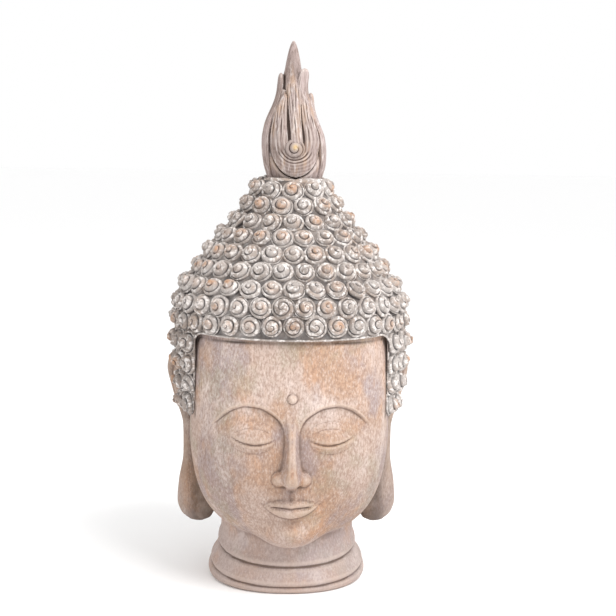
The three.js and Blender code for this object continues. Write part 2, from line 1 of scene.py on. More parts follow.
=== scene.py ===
"""A cast-stone Buddha head with a flame finial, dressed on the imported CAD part.

Sizes are in millimetres until a mesh is made, and the frame is the CAD's: +Z up, the face
looks towards -Y, the origin is the middle of the neck's flat underside.
"""

import json
import math

import bpy
import numpy as np
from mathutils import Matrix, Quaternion, Vector

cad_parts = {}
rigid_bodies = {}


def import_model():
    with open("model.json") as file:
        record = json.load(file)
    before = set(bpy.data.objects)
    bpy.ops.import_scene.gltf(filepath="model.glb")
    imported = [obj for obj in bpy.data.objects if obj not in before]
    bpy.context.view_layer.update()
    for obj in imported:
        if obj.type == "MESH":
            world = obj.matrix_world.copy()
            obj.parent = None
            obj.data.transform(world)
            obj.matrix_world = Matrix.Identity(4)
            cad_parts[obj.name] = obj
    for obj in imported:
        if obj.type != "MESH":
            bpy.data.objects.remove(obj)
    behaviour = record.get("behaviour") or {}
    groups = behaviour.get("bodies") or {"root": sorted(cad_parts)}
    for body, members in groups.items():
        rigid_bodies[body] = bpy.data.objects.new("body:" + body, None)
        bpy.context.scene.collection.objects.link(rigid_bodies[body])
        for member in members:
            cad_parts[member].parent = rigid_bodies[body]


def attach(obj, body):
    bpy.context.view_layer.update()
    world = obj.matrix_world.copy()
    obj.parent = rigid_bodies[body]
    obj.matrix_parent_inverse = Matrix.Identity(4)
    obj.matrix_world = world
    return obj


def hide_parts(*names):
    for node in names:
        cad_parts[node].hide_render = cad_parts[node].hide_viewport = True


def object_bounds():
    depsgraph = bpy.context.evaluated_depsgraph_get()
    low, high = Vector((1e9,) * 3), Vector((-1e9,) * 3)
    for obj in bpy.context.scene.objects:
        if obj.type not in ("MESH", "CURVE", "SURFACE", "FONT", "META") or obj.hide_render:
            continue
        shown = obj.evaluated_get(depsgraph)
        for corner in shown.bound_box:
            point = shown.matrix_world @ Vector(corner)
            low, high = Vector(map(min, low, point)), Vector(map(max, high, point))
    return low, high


for leftover in list(bpy.data.objects):
    bpy.data.objects.remove(leftover)
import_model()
CAD_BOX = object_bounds()
MM = 0.001
TINY = 1e-9

# ---------------------------------------------------------------- sizes, as in the CAD source

TOTAL_HEIGHT = 760.0
CROWN_Z = 567.0
HAIRLINE_Z = 361.0
CHIN_Z = 70.0
FACE_HALF_WIDTH = 131.0
FACE_FRONT = 152.0
SKULL_BACK = 132.0
SKULL_HALF_WIDTH = 140.0
SKULL_HALF_HEIGHT = 180.0
SIDEBURN_Z = 240.0
NAPE_Z = 155.0

CURL_RADIUS = 15.4
CURL_HEIGHT = 12.6
CURL_TURNS = 2.2
UPPER_PITCH = 29.6
LOWER_PITCH = 28.7
EDGE_MARGIN = 9.0
BESIDE_FACE = 11.0
EAR_GAP = 41.0
SIDE_CURL_GROWTH = 1.15

EAR_TOP_Z = 321.0
EAR_BOTTOM_Z = 71.0
EAR_Y = 18.0
EAR_HALF_WIDTH = 30.0

COLLAR_RADIUS = 43.0
CROWN_OFFSET = 4.2

BAND = (HAIRLINE_Z - CHIN_Z) / 3
BROW_Z = HAIRLINE_Z - BAND
NOSE_Z = BROW_Z - BAND
EYE_Z = BROW_Z - BAND / 3
MOUTH_Z = NOSE_Z - BAND / 3
EYE_WIDTH = 2 * FACE_HALF_WIDTH / 5
EYE_X = EYE_WIDTH
MOUTH_HALF_WIDTH = 0.73 * EYE_WIDTH

# ---------------------------------------------------------------- small maths


def clamp(t, low=0.0, high=1.0):
    return np.clip(t, low, high)


def mix(a, b, t):
    return a + (b - a) * t


def bell(distance, width):
    return np.exp(-((distance / width) ** 2))


def step(low, high, value):
    t = clamp((value - low) / (high - low))
    return t * t * (3 - 2 * t)


def smooth_min(a, b, k):
    h = np.maximum(k - np.abs(a - b), 0) / k
    return np.minimum(a, b) - h * h * k / 4


def smooth_max(a, b, k):
    return -smooth_min(-a, -b, k)


def dome(a, b, softness=0.0):
    """Height of a unit dome over the ellipse a^2 + b^2 < 1."""
    return np.sqrt(np.maximum(0, 1 - a * a - b * b) + softness) - math.sqrt(softness)


def through(stations):
    """A smooth curve through (t, value) stations, monotone between them."""
    t = np.array([s[0] for s in stations], float)
    v = np.array([s[1] for s in stations], float)
    slope = np.diff(v) / np.diff(t)
    tangent = np.empty_like(v)
    tangent[0], tangent[-1] = slope[0], slope[-1]
    for i in range(1, len(v) - 1):
        a, b = slope[i - 1], slope[i]
        tangent[i] = 0 if a * b <= 0 else 2 * a * b / (a + b)

    def curve(x):
        x = np.clip(np.asarray(x, float), t[0], t[-1])
        i = np.clip(np.searchsorted(t, x, side="right") - 1, 0, len(t) - 2)
        w = t[i + 1] - t[i]
        s = (x - t[i]) / w
        return (
            v[i] * (1 + 2 * s) * (1 - s) ** 2
            + tangent[i] * w * s * (1 - s) ** 2
            + v[i + 1] * s * s * (3 - 2 * s)
            + tangent[i + 1] * w * s * s * (s - 1)
        )

    return curve


# ---------------------------------------------------------------- meshes


def grid_faces(rows, count):
    """Quads between rings of equal length, each ring's last point joined to its first."""
    i = np.arange(count)
    j = (i + 1) % count
    r = np.arange(rows - 1)[:, None] * count
    return np.stack([r + i, r + j, r + count + j, r + count + i], axis=-1).reshape(-1, 4)


def loft(rings):
    """Closed mesh of rings, anticlockwise from above and bottom ring first."""
    rings = np.asarray(rings, float)
    rows, count, _ = rings.shape
    points = rings.reshape(-1, 3)
    faces = [tuple(f) for f in grid_faces(rows, count)]
    low, high = len(points), len(points) + 1
    points = np.vstack([points, rings[0].mean(axis=0), rings[-1].mean(axis=0)])
    last = (rows - 1) * count
    for i in range(count):
        j = (i + 1) % count
        faces.append((low, j, i))
        faces.append((high, last + i, last + j))
    return points, faces


def make_object(name, parts, attributes=()):
    """One mesh object of (points, faces) parts in millimetres, with named point values."""
    offset, points, faces = 0, [], []
    for part_points, part_faces in parts:
        points.append(part_points)
        faces += [tuple(int(v) + offset for v in face) for face in part_faces]
        offset += len(part_points)
    mesh = bpy.data.meshes.new(name)
    mesh.from_pydata((np.vstack(points) * MM).tolist(), [], faces)
    for key, values in attributes:
        layer = mesh.attributes.new(key, "FLOAT", "POINT")
        layer.data.foreach_set("value", np.asarray(values, np.float32))
    mesh.shade_smooth()
    piece = bpy.data.objects.new(name, mesh)
    bpy.context.scene.collection.objects.link(piece)
    return piece


def hollows(points, faces, passes, spacing):
    """How far each point lies in a hollow, in millimetres: below 0 on ridges.

    More passes look wider. The depth is what points a spacing apart would find, so that a fine
    and a coarse stretch of one mesh agree.
    """
    pairs = {tuple(sorted((a, face[i - 1]))) for face in faces for i, a in enumerate(face)}
    a, b = np.array(list(pairs), int).T
    count = len(points)
    ends, others = np.concatenate([a, b]), np.concatenate([b, a])
    number = np.maximum(np.bincount(ends, minlength=count), 1)[:, None]

    def mean_of_neighbours(values):
        sums = [np.bincount(ends, column[others], minlength=count) for column in values.T]
        return np.stack(sums, axis=-1) / number

    triangles = np.array([face[:2] + face[-1:] for face in faces])
    first, second, last = (points[triangles[:, k]] for k in range(3))
    normals = np.zeros_like(points)
    for k in range(3):
        np.add.at(normals, triangles[:, k], np.cross(second - first, last - first))
    for _ in range(3):
        normals /= np.maximum(np.linalg.norm(normals, axis=-1, keepdims=True), TINY)
        normals = mean_of_neighbours(normals) + normals
    normals /= np.maximum(np.linalg.norm(normals, axis=-1, keepdims=True), TINY)
    smooth = points
    for _ in range(passes):
        smooth = (smooth + mean_of_neighbours(smooth)) / 2
    depth = np.sum(normals * (smooth - points), axis=-1)
    squares = np.sum((points[ends] - points[others]) ** 2, axis=-1)
    return depth * spacing**2 * number[:, 0] / np.bincount(ends, squares, minlength=count)


# ---------------------------------------------------------------- face, skull and neck


def ellipsoid(p, centre, radii, n):
    """About how far p lies outside an ellipsoid, squarer the higher the power n."""
    d = p - np.asarray(centre, float)
    k = np.sum(np.abs(d / radii) ** np.asarray(n)[..., None], axis=-1) ** (1 / n)
    return np.linalg.norm(d, axis=-1) * (1 - 1 / np.maximum(k, TINY))


neck_side = through([
    (0, 107), (3, 111), (10, 113), (26, 108), (45, 100), (75, 95), (130, 96), (200, 100),
])
neck_front = through([(0, 104), (3, 108), (10, 110), (30, 106), (60, 98), (90, 92)])
neck_back = through([(0, 107), (3, 111), (10, 113), (40, 104), (90, 98), (150, 104), (200, 112)])

NECK_SQUARENESS = 2.2
NECK_FOLDS = ((22, 12.5), (50, 13.5))  # height at the side, and how far it hangs in front


def above_fold(height, droop, x, y, z):
    """How far a point lies above a neck fold, which hangs lower in front than at the sides."""
    forward = -y / np.maximum(np.hypot(x, y), TINY)
    return z - height + droop * forward


def neck(p):
    x, y, z = p[..., 0], p[..., 1], p[..., 2]
    a = neck_side(z)
    b = np.where(y < 0, neck_front(z), neck_back(z))
    n = NECK_SQUARENESS
    k = (np.abs(x / a) ** n + np.abs(y / b) ** n) ** (1 / n)
    fold = 0
    for height, droop in NECK_FOLDS:
        above = above_fold(height, droop, x, y, z)
        fold = fold + 3.2 * bell(above, 2.4) - 1.6 * bell(above - 6, 5)
    return np.hypot(x, y) * (1 - 1 / np.maximum(k, TINY)) + fold


def skull(p):
    back = p[..., 1] >= 0
    front_radii = np.array([SKULL_HALF_WIDTH, FACE_FRONT + 1, SKULL_HALF_HEIGHT])
    back_radii = np.array([SKULL_HALF_WIDTH, SKULL_BACK, SKULL_HALF_HEIGHT])
    radii = np.where(back[..., None], back_radii, front_radii)
    brain = ellipsoid(p, (0, 0, 285), radii, np.where(back, 2.6, 2.9))
    jaw = ellipsoid(p, (0, -26, 180), (129, 124, 112), 2.4)
    chin = ellipsoid(p, (0, -106, CHIN_Z + 31), (40, 38, 31), 2)
    return smooth_min(smooth_min(brain, jaw, 30), chin, 26)


brow_line = through([
    (8, BROW_Z - 30), (14, BROW_Z - 13), (26, BROW_Z - 1), (44, BROW_Z + 8),
    (60, BROW_Z + 10), (78, BROW_Z + 5), (92, BROW_Z - 5), (106, BROW_Z - 20),
])
nose_rise = through([
    (NOSE_Z - 10, 0), (NOSE_Z - 4, 9), (NOSE_Z + 1, 24), (NOSE_Z + 7, 31), (NOSE_Z + 13, 32),
    (NOSE_Z + 24, 28), (EYE_Z, 13), (BROW_Z - 12, 6), (BROW_Z + 10, 0),
])
nose_half_width = through([
    (NOSE_Z - 6, 10), (NOSE_Z + 10, 14), (NOSE_Z + 26, 10), (EYE_Z, 7.5), (BROW_Z, 10),
])


def eye_relief(ax, z):
    below = brow_line(ax) - z
    depth = 10 * step(114, 80, ax) * step(3, 18, ax)
    socket = depth * step(-0.5, 3.2, below) * (1 - step(10, 46, below))
    ridge = 0.9 * bell(below + 1.5, 3) * step(112, 96, ax) * step(10, 20, ax)

    ex = (ax - EYE_X) / (0.61 * EYE_WIDTH)
    ez = (z - EYE_Z + 1) / (0.4 * EYE_WIDTH)
    ball = dome(ex, ez, 0.02)
    slit = EYE_Z - 9 + 9 * ex * ex + 0.05 * (ax - EYE_X)
    over = z - slit
    open_width = clamp(1 - ex * ex)
    upper = 9.5 * ball * step(-0.6, 0.8, over)
    lower = 7.2 * ball * (1 - step(-0.6, 0.8, over))
    gap = -2.4 * bell(over + 1.0, 1.5) * np.sqrt(open_width)
    rim = 0.9 * bell(over + 4.6, 1.6) * open_width
    crease_line = EYE_Z + 11.5 - 13 * ex * ex
    crease = -1.5 * bell(z - crease_line, 1.4) * step(1.0, 0.6, np.abs(ex))
    return upper + lower + gap + rim + crease + ridge - socket


def mouth_relief(ax, z):
    mx = clamp(ax / MOUTH_HALF_WIDTH)
    line = MOUTH_Z + 4.5 * mx ** 2.2 - 0.9 * bell(ax, 7)
    upper = 11.5 * (1 - mx ** 1.6) - 2.6 * bell(ax, 5) + 0.01
    lower = 14 * (1 - mx ** 2.4) + 0.01
    over = (z - line) / upper
    under = (line - z) / lower
    roll_up = np.sqrt(np.maximum(0, 1 - (2 * clamp(over, 0, 1) - 0.9) ** 2 / 1.21))
    roll_up = roll_up * (over > 0) * (over < 1)
    roll_down = np.sqrt(np.maximum(0, 1 - (2 * clamp(under, 0, 1) - 0.85) ** 2 / 1.3225))
    roll_down = roll_down * (under > 0) * (under < 1)
    full = np.sqrt(clamp(1 - mx * mx))
    lips = (6.2 * roll_up + 8.4 * roll_down) * full
    parting = -2.6 * bell(z - line, 1.5) * step(1.12, 0.9, ax / MOUTH_HALF_WIDTH)
    corner = -1.8 * bell(ax - MOUTH_HALF_WIDTH - 1, 6) * bell(z - MOUTH_Z - 4.5, 6)
    mound = 6 * bell(ax, 46) * bell(z - MOUTH_Z, 30)
    hollow = -5 * bell(ax, 25) * bell(z - MOUTH_Z + 23, 8)
    over_lip = step(MOUTH_Z + 8, MOUTH_Z + 14, z) * step(NOSE_Z - 2, NOSE_Z - 8, z)
    philtrum = -2.2 * bell(ax, 3.6) * over_lip
    beside = step(MOUTH_Z + 8, MOUTH_Z + 12, z) * step(NOSE_Z - 3, NOSE_Z - 9, z)
    columns = bell(ax - 7, 2.8) * beside
    chin = 4.5 * bell(ax, 24) * bell(z - CHIN_Z - 27, 15)
    return lips + parting + corner + mound + hollow + philtrum + columns + chin


def nose_relief(ax, z):
    half = nose_half_width(z)
    ridge = nose_rise(z) * (1 - step(0.3 * half, 1.5 * half, ax))
    tip = 31.5 * dome(ax / 15, (z - NOSE_Z - 10) / 12.5, 0.01)
    wing = 17 * dome((ax - 16.5) / 10.5, (z - NOSE_Z - 8) / 10, 0.02)
    nose = smooth_max(smooth_max(ridge, tip, 6), wing, 7)
    nostril = -7 * bell(ax - 9.5, 3.4) * bell(z - NOSE_Z + 1.5, 2.6)
    return nose + nostril


def relief(x, z):
    """Height of the face's carving over the plain skull, at x and z in front view."""
    ax = np.abs(x)
    cheek = 5 * bell(ax - 64, 36) * bell(z - NOSE_Z - 14, 38)
    flesh = eye_relief(ax, z) + mouth_relief(ax, z) + cheek
    urna = 4.5 * dome(ax / 6.2, (z - BROW_Z - 19) / 6.2)
    return smooth_max(flesh, flesh * 0.4 + nose_relief(ax, z) - 1, 3) + urna


def skin(p):
    facing = step(-30, -70, p[..., 1])
    carved = skull(p) - facing * relief(p[..., 0], p[..., 2])
    return smooth_min(carved, neck(p), 7)


BEYOND_SKIN = 240.0
HALVINGS = 14  # of a ray's last step, which bring it within a thousandth of a millimetre


def cast_rays(origins, directions):
    """The outermost point where each ray meets the skin."""
    far = np.full(origins.shape[:-1], BEYOND_SKIN)
    searching = np.ones_like(far, bool)
    stride = 3.0
    while searching.any() and far.min() > stride:
        points = origins + directions * (far - stride)[..., None]
        searching &= skin(points) > 0
        far = np.where(searching, far - stride, far)
    near = far - stride
    for _ in range(HALVINGS):
        middle = (near + far) / 2
        outside = skin(origins + directions * middle[..., None]) > 0
        far = np.where(outside, middle, far)
        near = np.where(outside, near, middle)
    return origins + directions * near[..., None]


def skin_rows():
    """Heights on the axis and angles below the horizon that the rows of rays leave at."""
    drop = through([
        (0, 0), (48, 0), (62, 4), (78, 9), (92, 14), (106, 18), (119, 19.5), (131, 18.7),
        (142, 17.5), (152, 16), (160, 14.5), (235, 0), (400, 0),
    ])
    heights = np.concatenate([
        [0, 0.8, 2.5, 5], np.arange(7.5, 48, 2.2), np.arange(48, 160, 1.5),
        np.arange(160, 290, 1.4), np.arange(290, HAIRLINE_Z + 12, 3.5),
    ])
    return heights, np.radians(drop(heights))


def skin_columns():
    """Where round the head the rays leave, closest together over the face."""
    half = np.concatenate([
        np.arange(0, 62, 1.45), np.arange(62, 120, 2.0), np.arange(120, 175, 3.0),
    ])
    front = np.arctan2(half, FACE_FRONT)
    back = np.linspace(front[-1], math.pi, 100)[1:]
    right = np.concatenate([front, back])
    return np.concatenate([-right[1:-1][::-1], right])


def head_skin():
    heights, drops = skin_rows()
    turns = skin_columns()
    drop, turn = np.meshgrid(drops, turns, indexing="ij")
    level = np.cos(drop)
    directions = np.stack([np.sin(turn) * level, -np.cos(turn) * level, -np.sin(drop)], axis=-1)
    origins = np.zeros_like(directions)
    origins[..., 2] = heights[:, None]
    rings = cast_rays(origins, directions)
    return loft(rings)


# ---------------------------------------------------------------- hair

hair_side = through([
    (140, 116), (200, 136), (245, 147), (280, 152), (310, 156), (345, 159), (385, 159), (412, 154),
    (440, 134), (474, 110), (500, 88), (520, 72), (550, 54), (CROWN_Z, 44),
])
hair_back = through([
    (140, 112), (180, 128), (240, 150), (320, 163), (385, 163), (412, 157), (440, 137), (474, 112),
    (500, 89), (520, 72), (550, 54), (CROWN_Z, 44),
])
HAIR_SQUARENESS = 2.2
HAIR_FRONT = 159.0


def hair_front(z):
    return np.maximum(hair_side(z), HAIR_FRONT * step(420, 400, z))


def hair_point(turn, z):
    s, c = np.sin(turn), np.cos(turn)
    a, b = hair_side(z), np.where(c > 0, hair_front(z), hair_back(z))
    n = HAIR_SQUARENESS
    r = (np.abs(s / a) ** n + np.abs(c / b) ** n) ** (-1 / n)
    return np.stack([r * s, -r * c, z * np.ones_like(r)], axis=-1)


def hair_normal(turn, z):
    e = 0.5
    across = hair_point(turn + e / 100, z) - hair_point(turn - e / 100, z)
    up = hair_point(turn, z + e) - hair_point(turn, z - e)
    n = np.cross(across, up)
    return n / np.linalg.norm(n, axis=-1, keepdims=True)


def hair_edge(turn):
    return mix(NAPE_Z, SIDEBURN_Z, step(-0.9, 0.2, np.cos(turn)))


OPENING_CORNER = 13.0
OPENING_SAG = 2.5
OPENING_TOP_Z = HAIRLINE_Z + 2
# Where the opening's straight sides and upper edge pass into its round corners.
CORNER_X = FACE_HALF_WIDTH - OPENING_CORNER
CORNER_Z = OPENING_TOP_Z - OPENING_CORNER


def opening_depth(x, z):
    """How far a point in front view lies inside the hair's opening round the face."""
    dx = np.maximum(np.abs(x) - CORNER_X, 0)
    dz = np.maximum(z - CORNER_Z, 0)
    outside = np.hypot(dx, dz)
    within = np.minimum(CORNER_X - np.abs(x), CORNER_Z - z)
    return np.where(outside > 0, OPENING_CORNER - outside, OPENING_CORNER + np.maximum(within, 0))


def opening_sag(x, half_width):
    """How far the opening's upper edge hangs down between its round corners."""
    return OPENING_SAG * (1 - (x / (half_width - OPENING_CORNER)) ** 2)


def opening_edge(half_width, top, corner_steps, brow_steps):
    """The right corner and the upper edge of the hair's opening in front view, as (x, z) points."""
    r = OPENING_CORNER
    corner = [(half_width - r + r * math.cos(a), top - r + r * math.sin(a))
              for a in np.linspace(0, math.pi / 2, corner_steps)]
    between = np.linspace(half_width - r, r - half_width, brow_steps)[1:-1]
    return corner, [(x, top - opening_sag(x, half_width)) for x in between]


def hair_cap():
    """The plain surface that the curls stand on, cut away round the face."""
    turns = np.linspace(0, 2 * math.pi, 120, endpoint=False)
    rings = []
    for t in np.linspace(0, 1, 70):
        z = mix(hair_edge(turns), CROWN_Z, t)
        rings.append(hair_point(turns, z))
    cap = make_object("hair_cap", [loft(rings)])

    w, low = FACE_HALF_WIDTH, SIDEBURN_Z - 60
    right, brow = opening_edge(w, OPENING_TOP_Z, corner_steps=10, brow_steps=15)
    left = [(-x, z) for x, z in right[::-1]]
    outline = [(-w, low), (w, low)] + right + brow + left
    front = [(x, -230.0, z) for x, z in outline]
    back = [(x, 0.0, z) for x, z in outline]
    count = len(outline)
    sides = [(i, (i + 1) % count, count + (i + 1) % count, count + i) for i in range(count)]
    faces = sides + [tuple(range(count))[::-1], tuple(range(count, 2 * count))]
    cutter = make_object("opening", [(np.array(front + back), [f[::-1] for f in faces])])
    cut(cap, cutter)
    return take_mesh(cap)


def cut(piece, cutter):
    """Takes the cutter's volume from the piece, and removes the cutter."""
    modifier = piece.modifiers.new("cut", "BOOLEAN")
    modifier.operation = "DIFFERENCE"
    modifier.solver = "EXACT"
    modifier.object = cutter
    graph = bpy.context.evaluated_depsgraph_get()
    result = bpy.data.meshes.new_from_object(piece.evaluated_get(graph))
    piece.modifiers.clear()
    piece.data = result
    bpy.data.objects.remove(cutter)


def take_mesh(piece):
    """The piece's (points, faces) in millimetres. The object itself is removed."""
    mesh = piece.data
    points = np.empty(len(mesh.vertices) * 3)
    mesh.vertices.foreach_get("co", points)
    faces = [tuple(polygon.vertices) for polygon in mesh.polygons]
    bpy.data.objects.remove(piece)
    return points.reshape(-1, 3) / MM, faces


LOWER_ROW_PITCH = 29
CURL_ROWS = [557, 535, 512, 491, 469, 446, 423, 399, 374]
CURL_ROWS += range(345, int(NAPE_Z) + 8, -LOWER_ROW_PITCH)


def curl_lean(row):
    return mix(-4, 6, min(1, row / 8))


def row_turns(row, row_z):
    """Where round the head the curls of a row stand. Rows below the hairline start beside the face."""
    around = np.linspace(0, 2 * math.pi, 721)
    ring = hair_point(around, row_z + curl_lean(row) * np.cos(around))
    length = np.concatenate([[0], np.cumsum(np.linalg.norm(np.diff(ring, axis=0), axis=1))])
    if row_z > HAIRLINE_Z:
        count = round(length[-1] / UPPER_PITCH)
        return 2 * math.pi * (np.arange(count) + (row % 2) / 2) / count
    half = len(around) // 2 + 1

    def length_at(y):
        return np.interp(y, ring[:half, 1], length[:half])

    def evenly(first, last):
        return np.linspace(first, last, round((last - first) / LOWER_PITCH) + 1)

    first = length[np.argmax(ring[:, 0] > FACE_HALF_WIDTH + 1)] + BESIDE_FACE
    if row_z > EAR_TOP_Z:
        places = evenly(first, length[-1] - first)
    else:
        before_ear = evenly(first, length_at(EAR_Y - EAR_GAP))
        behind = length_at(EAR_Y + EAR_GAP)
        behind_ears = evenly(behind, length[-1] - behind)
        places = np.concatenate([before_ear, behind_ears, length[-1] - before_ear])
    return np.interp(places, length, around)


def curl_places():
    """(foot, outward direction) of every curl."""
    for row, row_z in enumerate(CURL_ROWS):
        for turn in row_turns(row, row_z):
            z = row_z + curl_lean(row) * math.cos(turn)
            at = hair_point(turn, z)
            if z > hair_edge(turn) + EDGE_MARGIN:
                yield at, hair_normal(turn, z)


def snail(radius, height, turns, per_turn=16, groove=1.7):
    """A coiled curl on a round foot: its points, faces and each point's painted shade.

    The coil's arm starts with no width on the rim, and winds inwards and up in steps to a round tip.
    """
    steps = per_turn + int(turns * per_turn)
    s = np.arange(steps + 1)
    angle = 2 * math.pi * s / per_turn
    rim = radius * clamp(1 - (s - per_turn) / (steps - per_turn)) ** 0.8
    inner = np.append(rim[per_turn:], np.zeros(per_turn))
    crest = height * (1 - ((rim + inner) / (2 * radius)) ** 1.9)
    below = np.concatenate([np.full(per_turn, -1.0), crest[:-per_turn]])
    groove = groove * clamp(s / per_turn) * clamp((steps - s) / (0.6 * per_turn))
    below = mix(crest, below, clamp((steps - s) / (0.6 * per_turn)))
    # Rows across the coil's arm: how far inwards, how high, and how much painted shade, most in the
    # groove.
    shares = ((0.0, 0.0, 1.0), (0.14, 0.62, 0.3), (0.42, 1.0, 0.0), (0.78, 1.0, 0.1))
    points, depth = [], []
    for share, lift, dark in shares:
        r = rim + (inner - rim) * share
        h = mix(below - groove, crest, lift)
        points.append(np.stack([r * np.cos(angle), r * np.sin(angle), h], axis=-1))
        depth.append(np.full_like(r, dark))
    faces = []
    for i in range(steps):
        for k in range(3):
            a, b = k * (steps + 1) + i, (k + 1) * (steps + 1) + i
            faces.append((a, a + 1, b + 1, b))
        if i + per_turn + 1 <= steps:
            b = 3 * (steps + 1) + i
            faces.append((b, b + 1, i + per_turn + 1, i + per_turn))
    apex = 4 * (steps + 1)
    for i in range(steps - per_turn, steps):
        b = 3 * (steps + 1) + i
        faces.append((b, b + 1, apex))
    skirt = apex + 1
    circle = 2 * math.pi * np.arange(per_turn) / per_turn
    foot = np.stack([radius * np.cos(circle), radius * np.sin(circle), np.full(per_turn, -5.0)], -1)
    for i in range(per_turn):
        faces.append((skirt + i, skirt + (i + 1) % per_turn, i + 1, i))
    points = np.vstack(points + [[[0, 0, height]], foot])
    depth = np.concatenate(depth + [[0.0], np.full(per_turn, 0.6)])
    return points, faces, depth


def rough_up(points, amount, wave):
    """Points moved a little by smooth waves, as a hand-modelled surface is."""
    x, y, z = points.T / wave
    return points + amount * np.stack([
        np.sin(y + 1.7 * np.sin(z)) + 0.5 * np.sin(2.3 * z + x),
        np.sin(z + 1.9 * np.sin(x)) + 0.5 * np.sin(2.1 * x + y),
        np.sin(x + 1.6 * np.sin(y)) + 0.5 * np.sin(2.7 * y + z),
    ], axis=-1)


def curls(seed=7):
    """A part for every curl, and their points' tip, painted groove shade and tone values."""
    chance = np.random.default_rng(seed)
    # depth is each point's painted shade, most in the coil's groove.
    shape, faces, depth = snail(CURL_RADIUS, CURL_HEIGHT, CURL_TURNS)
    reach = np.hypot(shape[:, 0], shape[:, 1]) / CURL_RADIUS
    parts, tips, grooves, tones = [], [], [], []
    for at, out in curl_places():
        spin = chance.uniform(0, 2 * math.pi)
        size = chance.uniform(0.94, 1.05)
        tall = chance.uniform(0.88, 1.12)
        lean = chance.normal(0, 0.09, 2)
        if at[1] < 0 and at[2] < HAIRLINE_Z:
            size, tall = 1.08 * size, min(SIDE_CURL_GROWTH * tall, 1.25)
        side = np.cross((0, 0, 1), out)
        side = side / np.linalg.norm(side)
        up = np.cross(out, side)
        axis = out + lean[0] * side + (lean[1] + 0.06) * up
        axis = axis / np.linalg.norm(axis)
        u = np.cross((0, 0, 1), axis)
        u = u / np.linalg.norm(u)
        v = np.cross(axis, u)
        turned = np.stack([
            shape[:, 0] * math.cos(spin) - shape[:, 1] * math.sin(spin),
            shape[:, 0] * math.sin(spin) + shape[:, 1] * math.cos(spin),
        ])
        raised = tall * shape[:, 2:3] * axis
        local = size * (turned[0][:, None] * u + turned[1][:, None] * v + raised)
        parts.append((keep_off_face(rough_up(at + local, 0.35, 3.1)), faces))
        tips.append(1 - reach)
        tones.append(np.full(len(shape), chance.uniform()))
        grooves.append(depth)
    return parts, np.concatenate(tips), np.concatenate(grooves), np.concatenate(tones)


def keep_off_face(points):
    """Curls beside the face end at the edge of the hair's opening."""
    x, z = points[:, 0], points[:, 2]
    inside = opening_depth(x, z) * (points[:, 1] < 0)
    dx = np.maximum(np.abs(x) - CORNER_X, 0) * np.sign(x)
    dz = np.maximum(z - CORNER_Z, 0)
    length = np.maximum(np.hypot(dx, dz), TINY)
    push = np.where((inside > 0) & (inside < OPENING_CORNER), inside, 0)
    moved = points.copy()
    moved[:, 0] += push * dx / length
    moved[:, 2] += push * dz / length
    return moved


RIM_RADIUS = 1.4


def hair_rim():
    """The thin roll along the hair's edge, up one side of the face, over it and down the other."""
    w, top = FACE_HALF_WIDTH + 0.8, OPENING_TOP_Z + 0.8
    side = [(w, z) for z in np.linspace(hair_edge(0) - 3, top - OPENING_CORNER, 40)[:-1]]
    corner, brow = opening_edge(w, top, corner_steps=12, brow_steps=60)
    path = np.array(side + corner + brow + [(-x, z) for x, z in (side + corner)[::-1]])
    a, b = hair_side(path[:, 1]), hair_front(path[:, 1])
    n = HAIR_SQUARENESS
    y = -b * (1 - (np.abs(path[:, 0]) / a) ** n) ** (1 / n)
    line = np.stack([path[:, 0], y + 0.4, path[:, 1]], axis=-1)
    along = np.gradient(line, axis=0)
    along /= np.linalg.norm(along, axis=1, keepdims=True)
    out = np.stack([path[:, 0] * 0.4, y, 0 * y], axis=-1)
    out -= np.sum(out * along, axis=1, keepdims=True) * along
    out /= np.linalg.norm(out, axis=1, keepdims=True)
    across = np.cross(along, out)
    to_first = np.arange(len(line))
    to_end = np.minimum(to_first, to_first[::-1])
    thick = RIM_RADIUS * np.sqrt(np.clip(to_end / 4, 0.02, 1))
    rings = []
    for turn in np.linspace(0, 2 * math.pi, 10, endpoint=False):
        rings.append(line + thick[:, None] * (math.cos(turn) * out + math.sin(turn) * across))
    return loft(np.stack(rings, axis=1))


def collar():
    """The low wavy lip on the crown that the flame stands in."""
    count = 96
    turns = np.linspace(0, 2 * math.pi, count, endpoint=False)
    wave = 0.9 * np.sin(5 * turns + 0.6) + 0.6 * np.sin(9 * turns)
    # Outside to inside: how far beyond COLLAR_RADIUS, how high, and how much of the wave it takes.
    outline = [(3, -8, 0), (1.6, 0, 0.4), (0, 2.6, 0.8), (-1.5, 3.4, 1), (-3, 2.6, 0.8), (-3.2, 0, 0)]
    rings = []
    for beyond, rise, share in outline:
        radius = COLLAR_RADIUS + beyond
        z = CROWN_Z + rise + share * np.minimum(wave, 0.6)
        ring = np.stack([CROWN_OFFSET + radius * np.cos(turns), radius * np.sin(turns), z], axis=-1)
        rings.append(ring)
    return loft(rings)


# ---------------------------------------------------------------- ears

ear_x = through([
    (EAR_BOTTOM_Z, 132), (110, 132.5), (170, 134), (220, 138), (260, 150), (300, 159),
    (EAR_TOP_Z, 159),
])
ear_half_width = through([
    (EAR_BOTTOM_Z, 12), (78, 25), (96, 33), (125, 30), (170, 21), (210, 21), (250, 27),
    (290, EAR_HALF_WIDTH), (312, 23), (EAR_TOP_Z, 8),
])
ear_half_thickness = through([
    (EAR_BOTTOM_Z, 7), (82, 13), (110, 15), (170, 12), (220, 9), (312, 8), (EAR_TOP_Z, 5),
])
# How far the ear's outer face is turned forward, in radians.
ear_turn = through([(EAR_BOTTOM_Z, 0.95), (130, 0.95), (250, 0.6), (300, 0.48)])


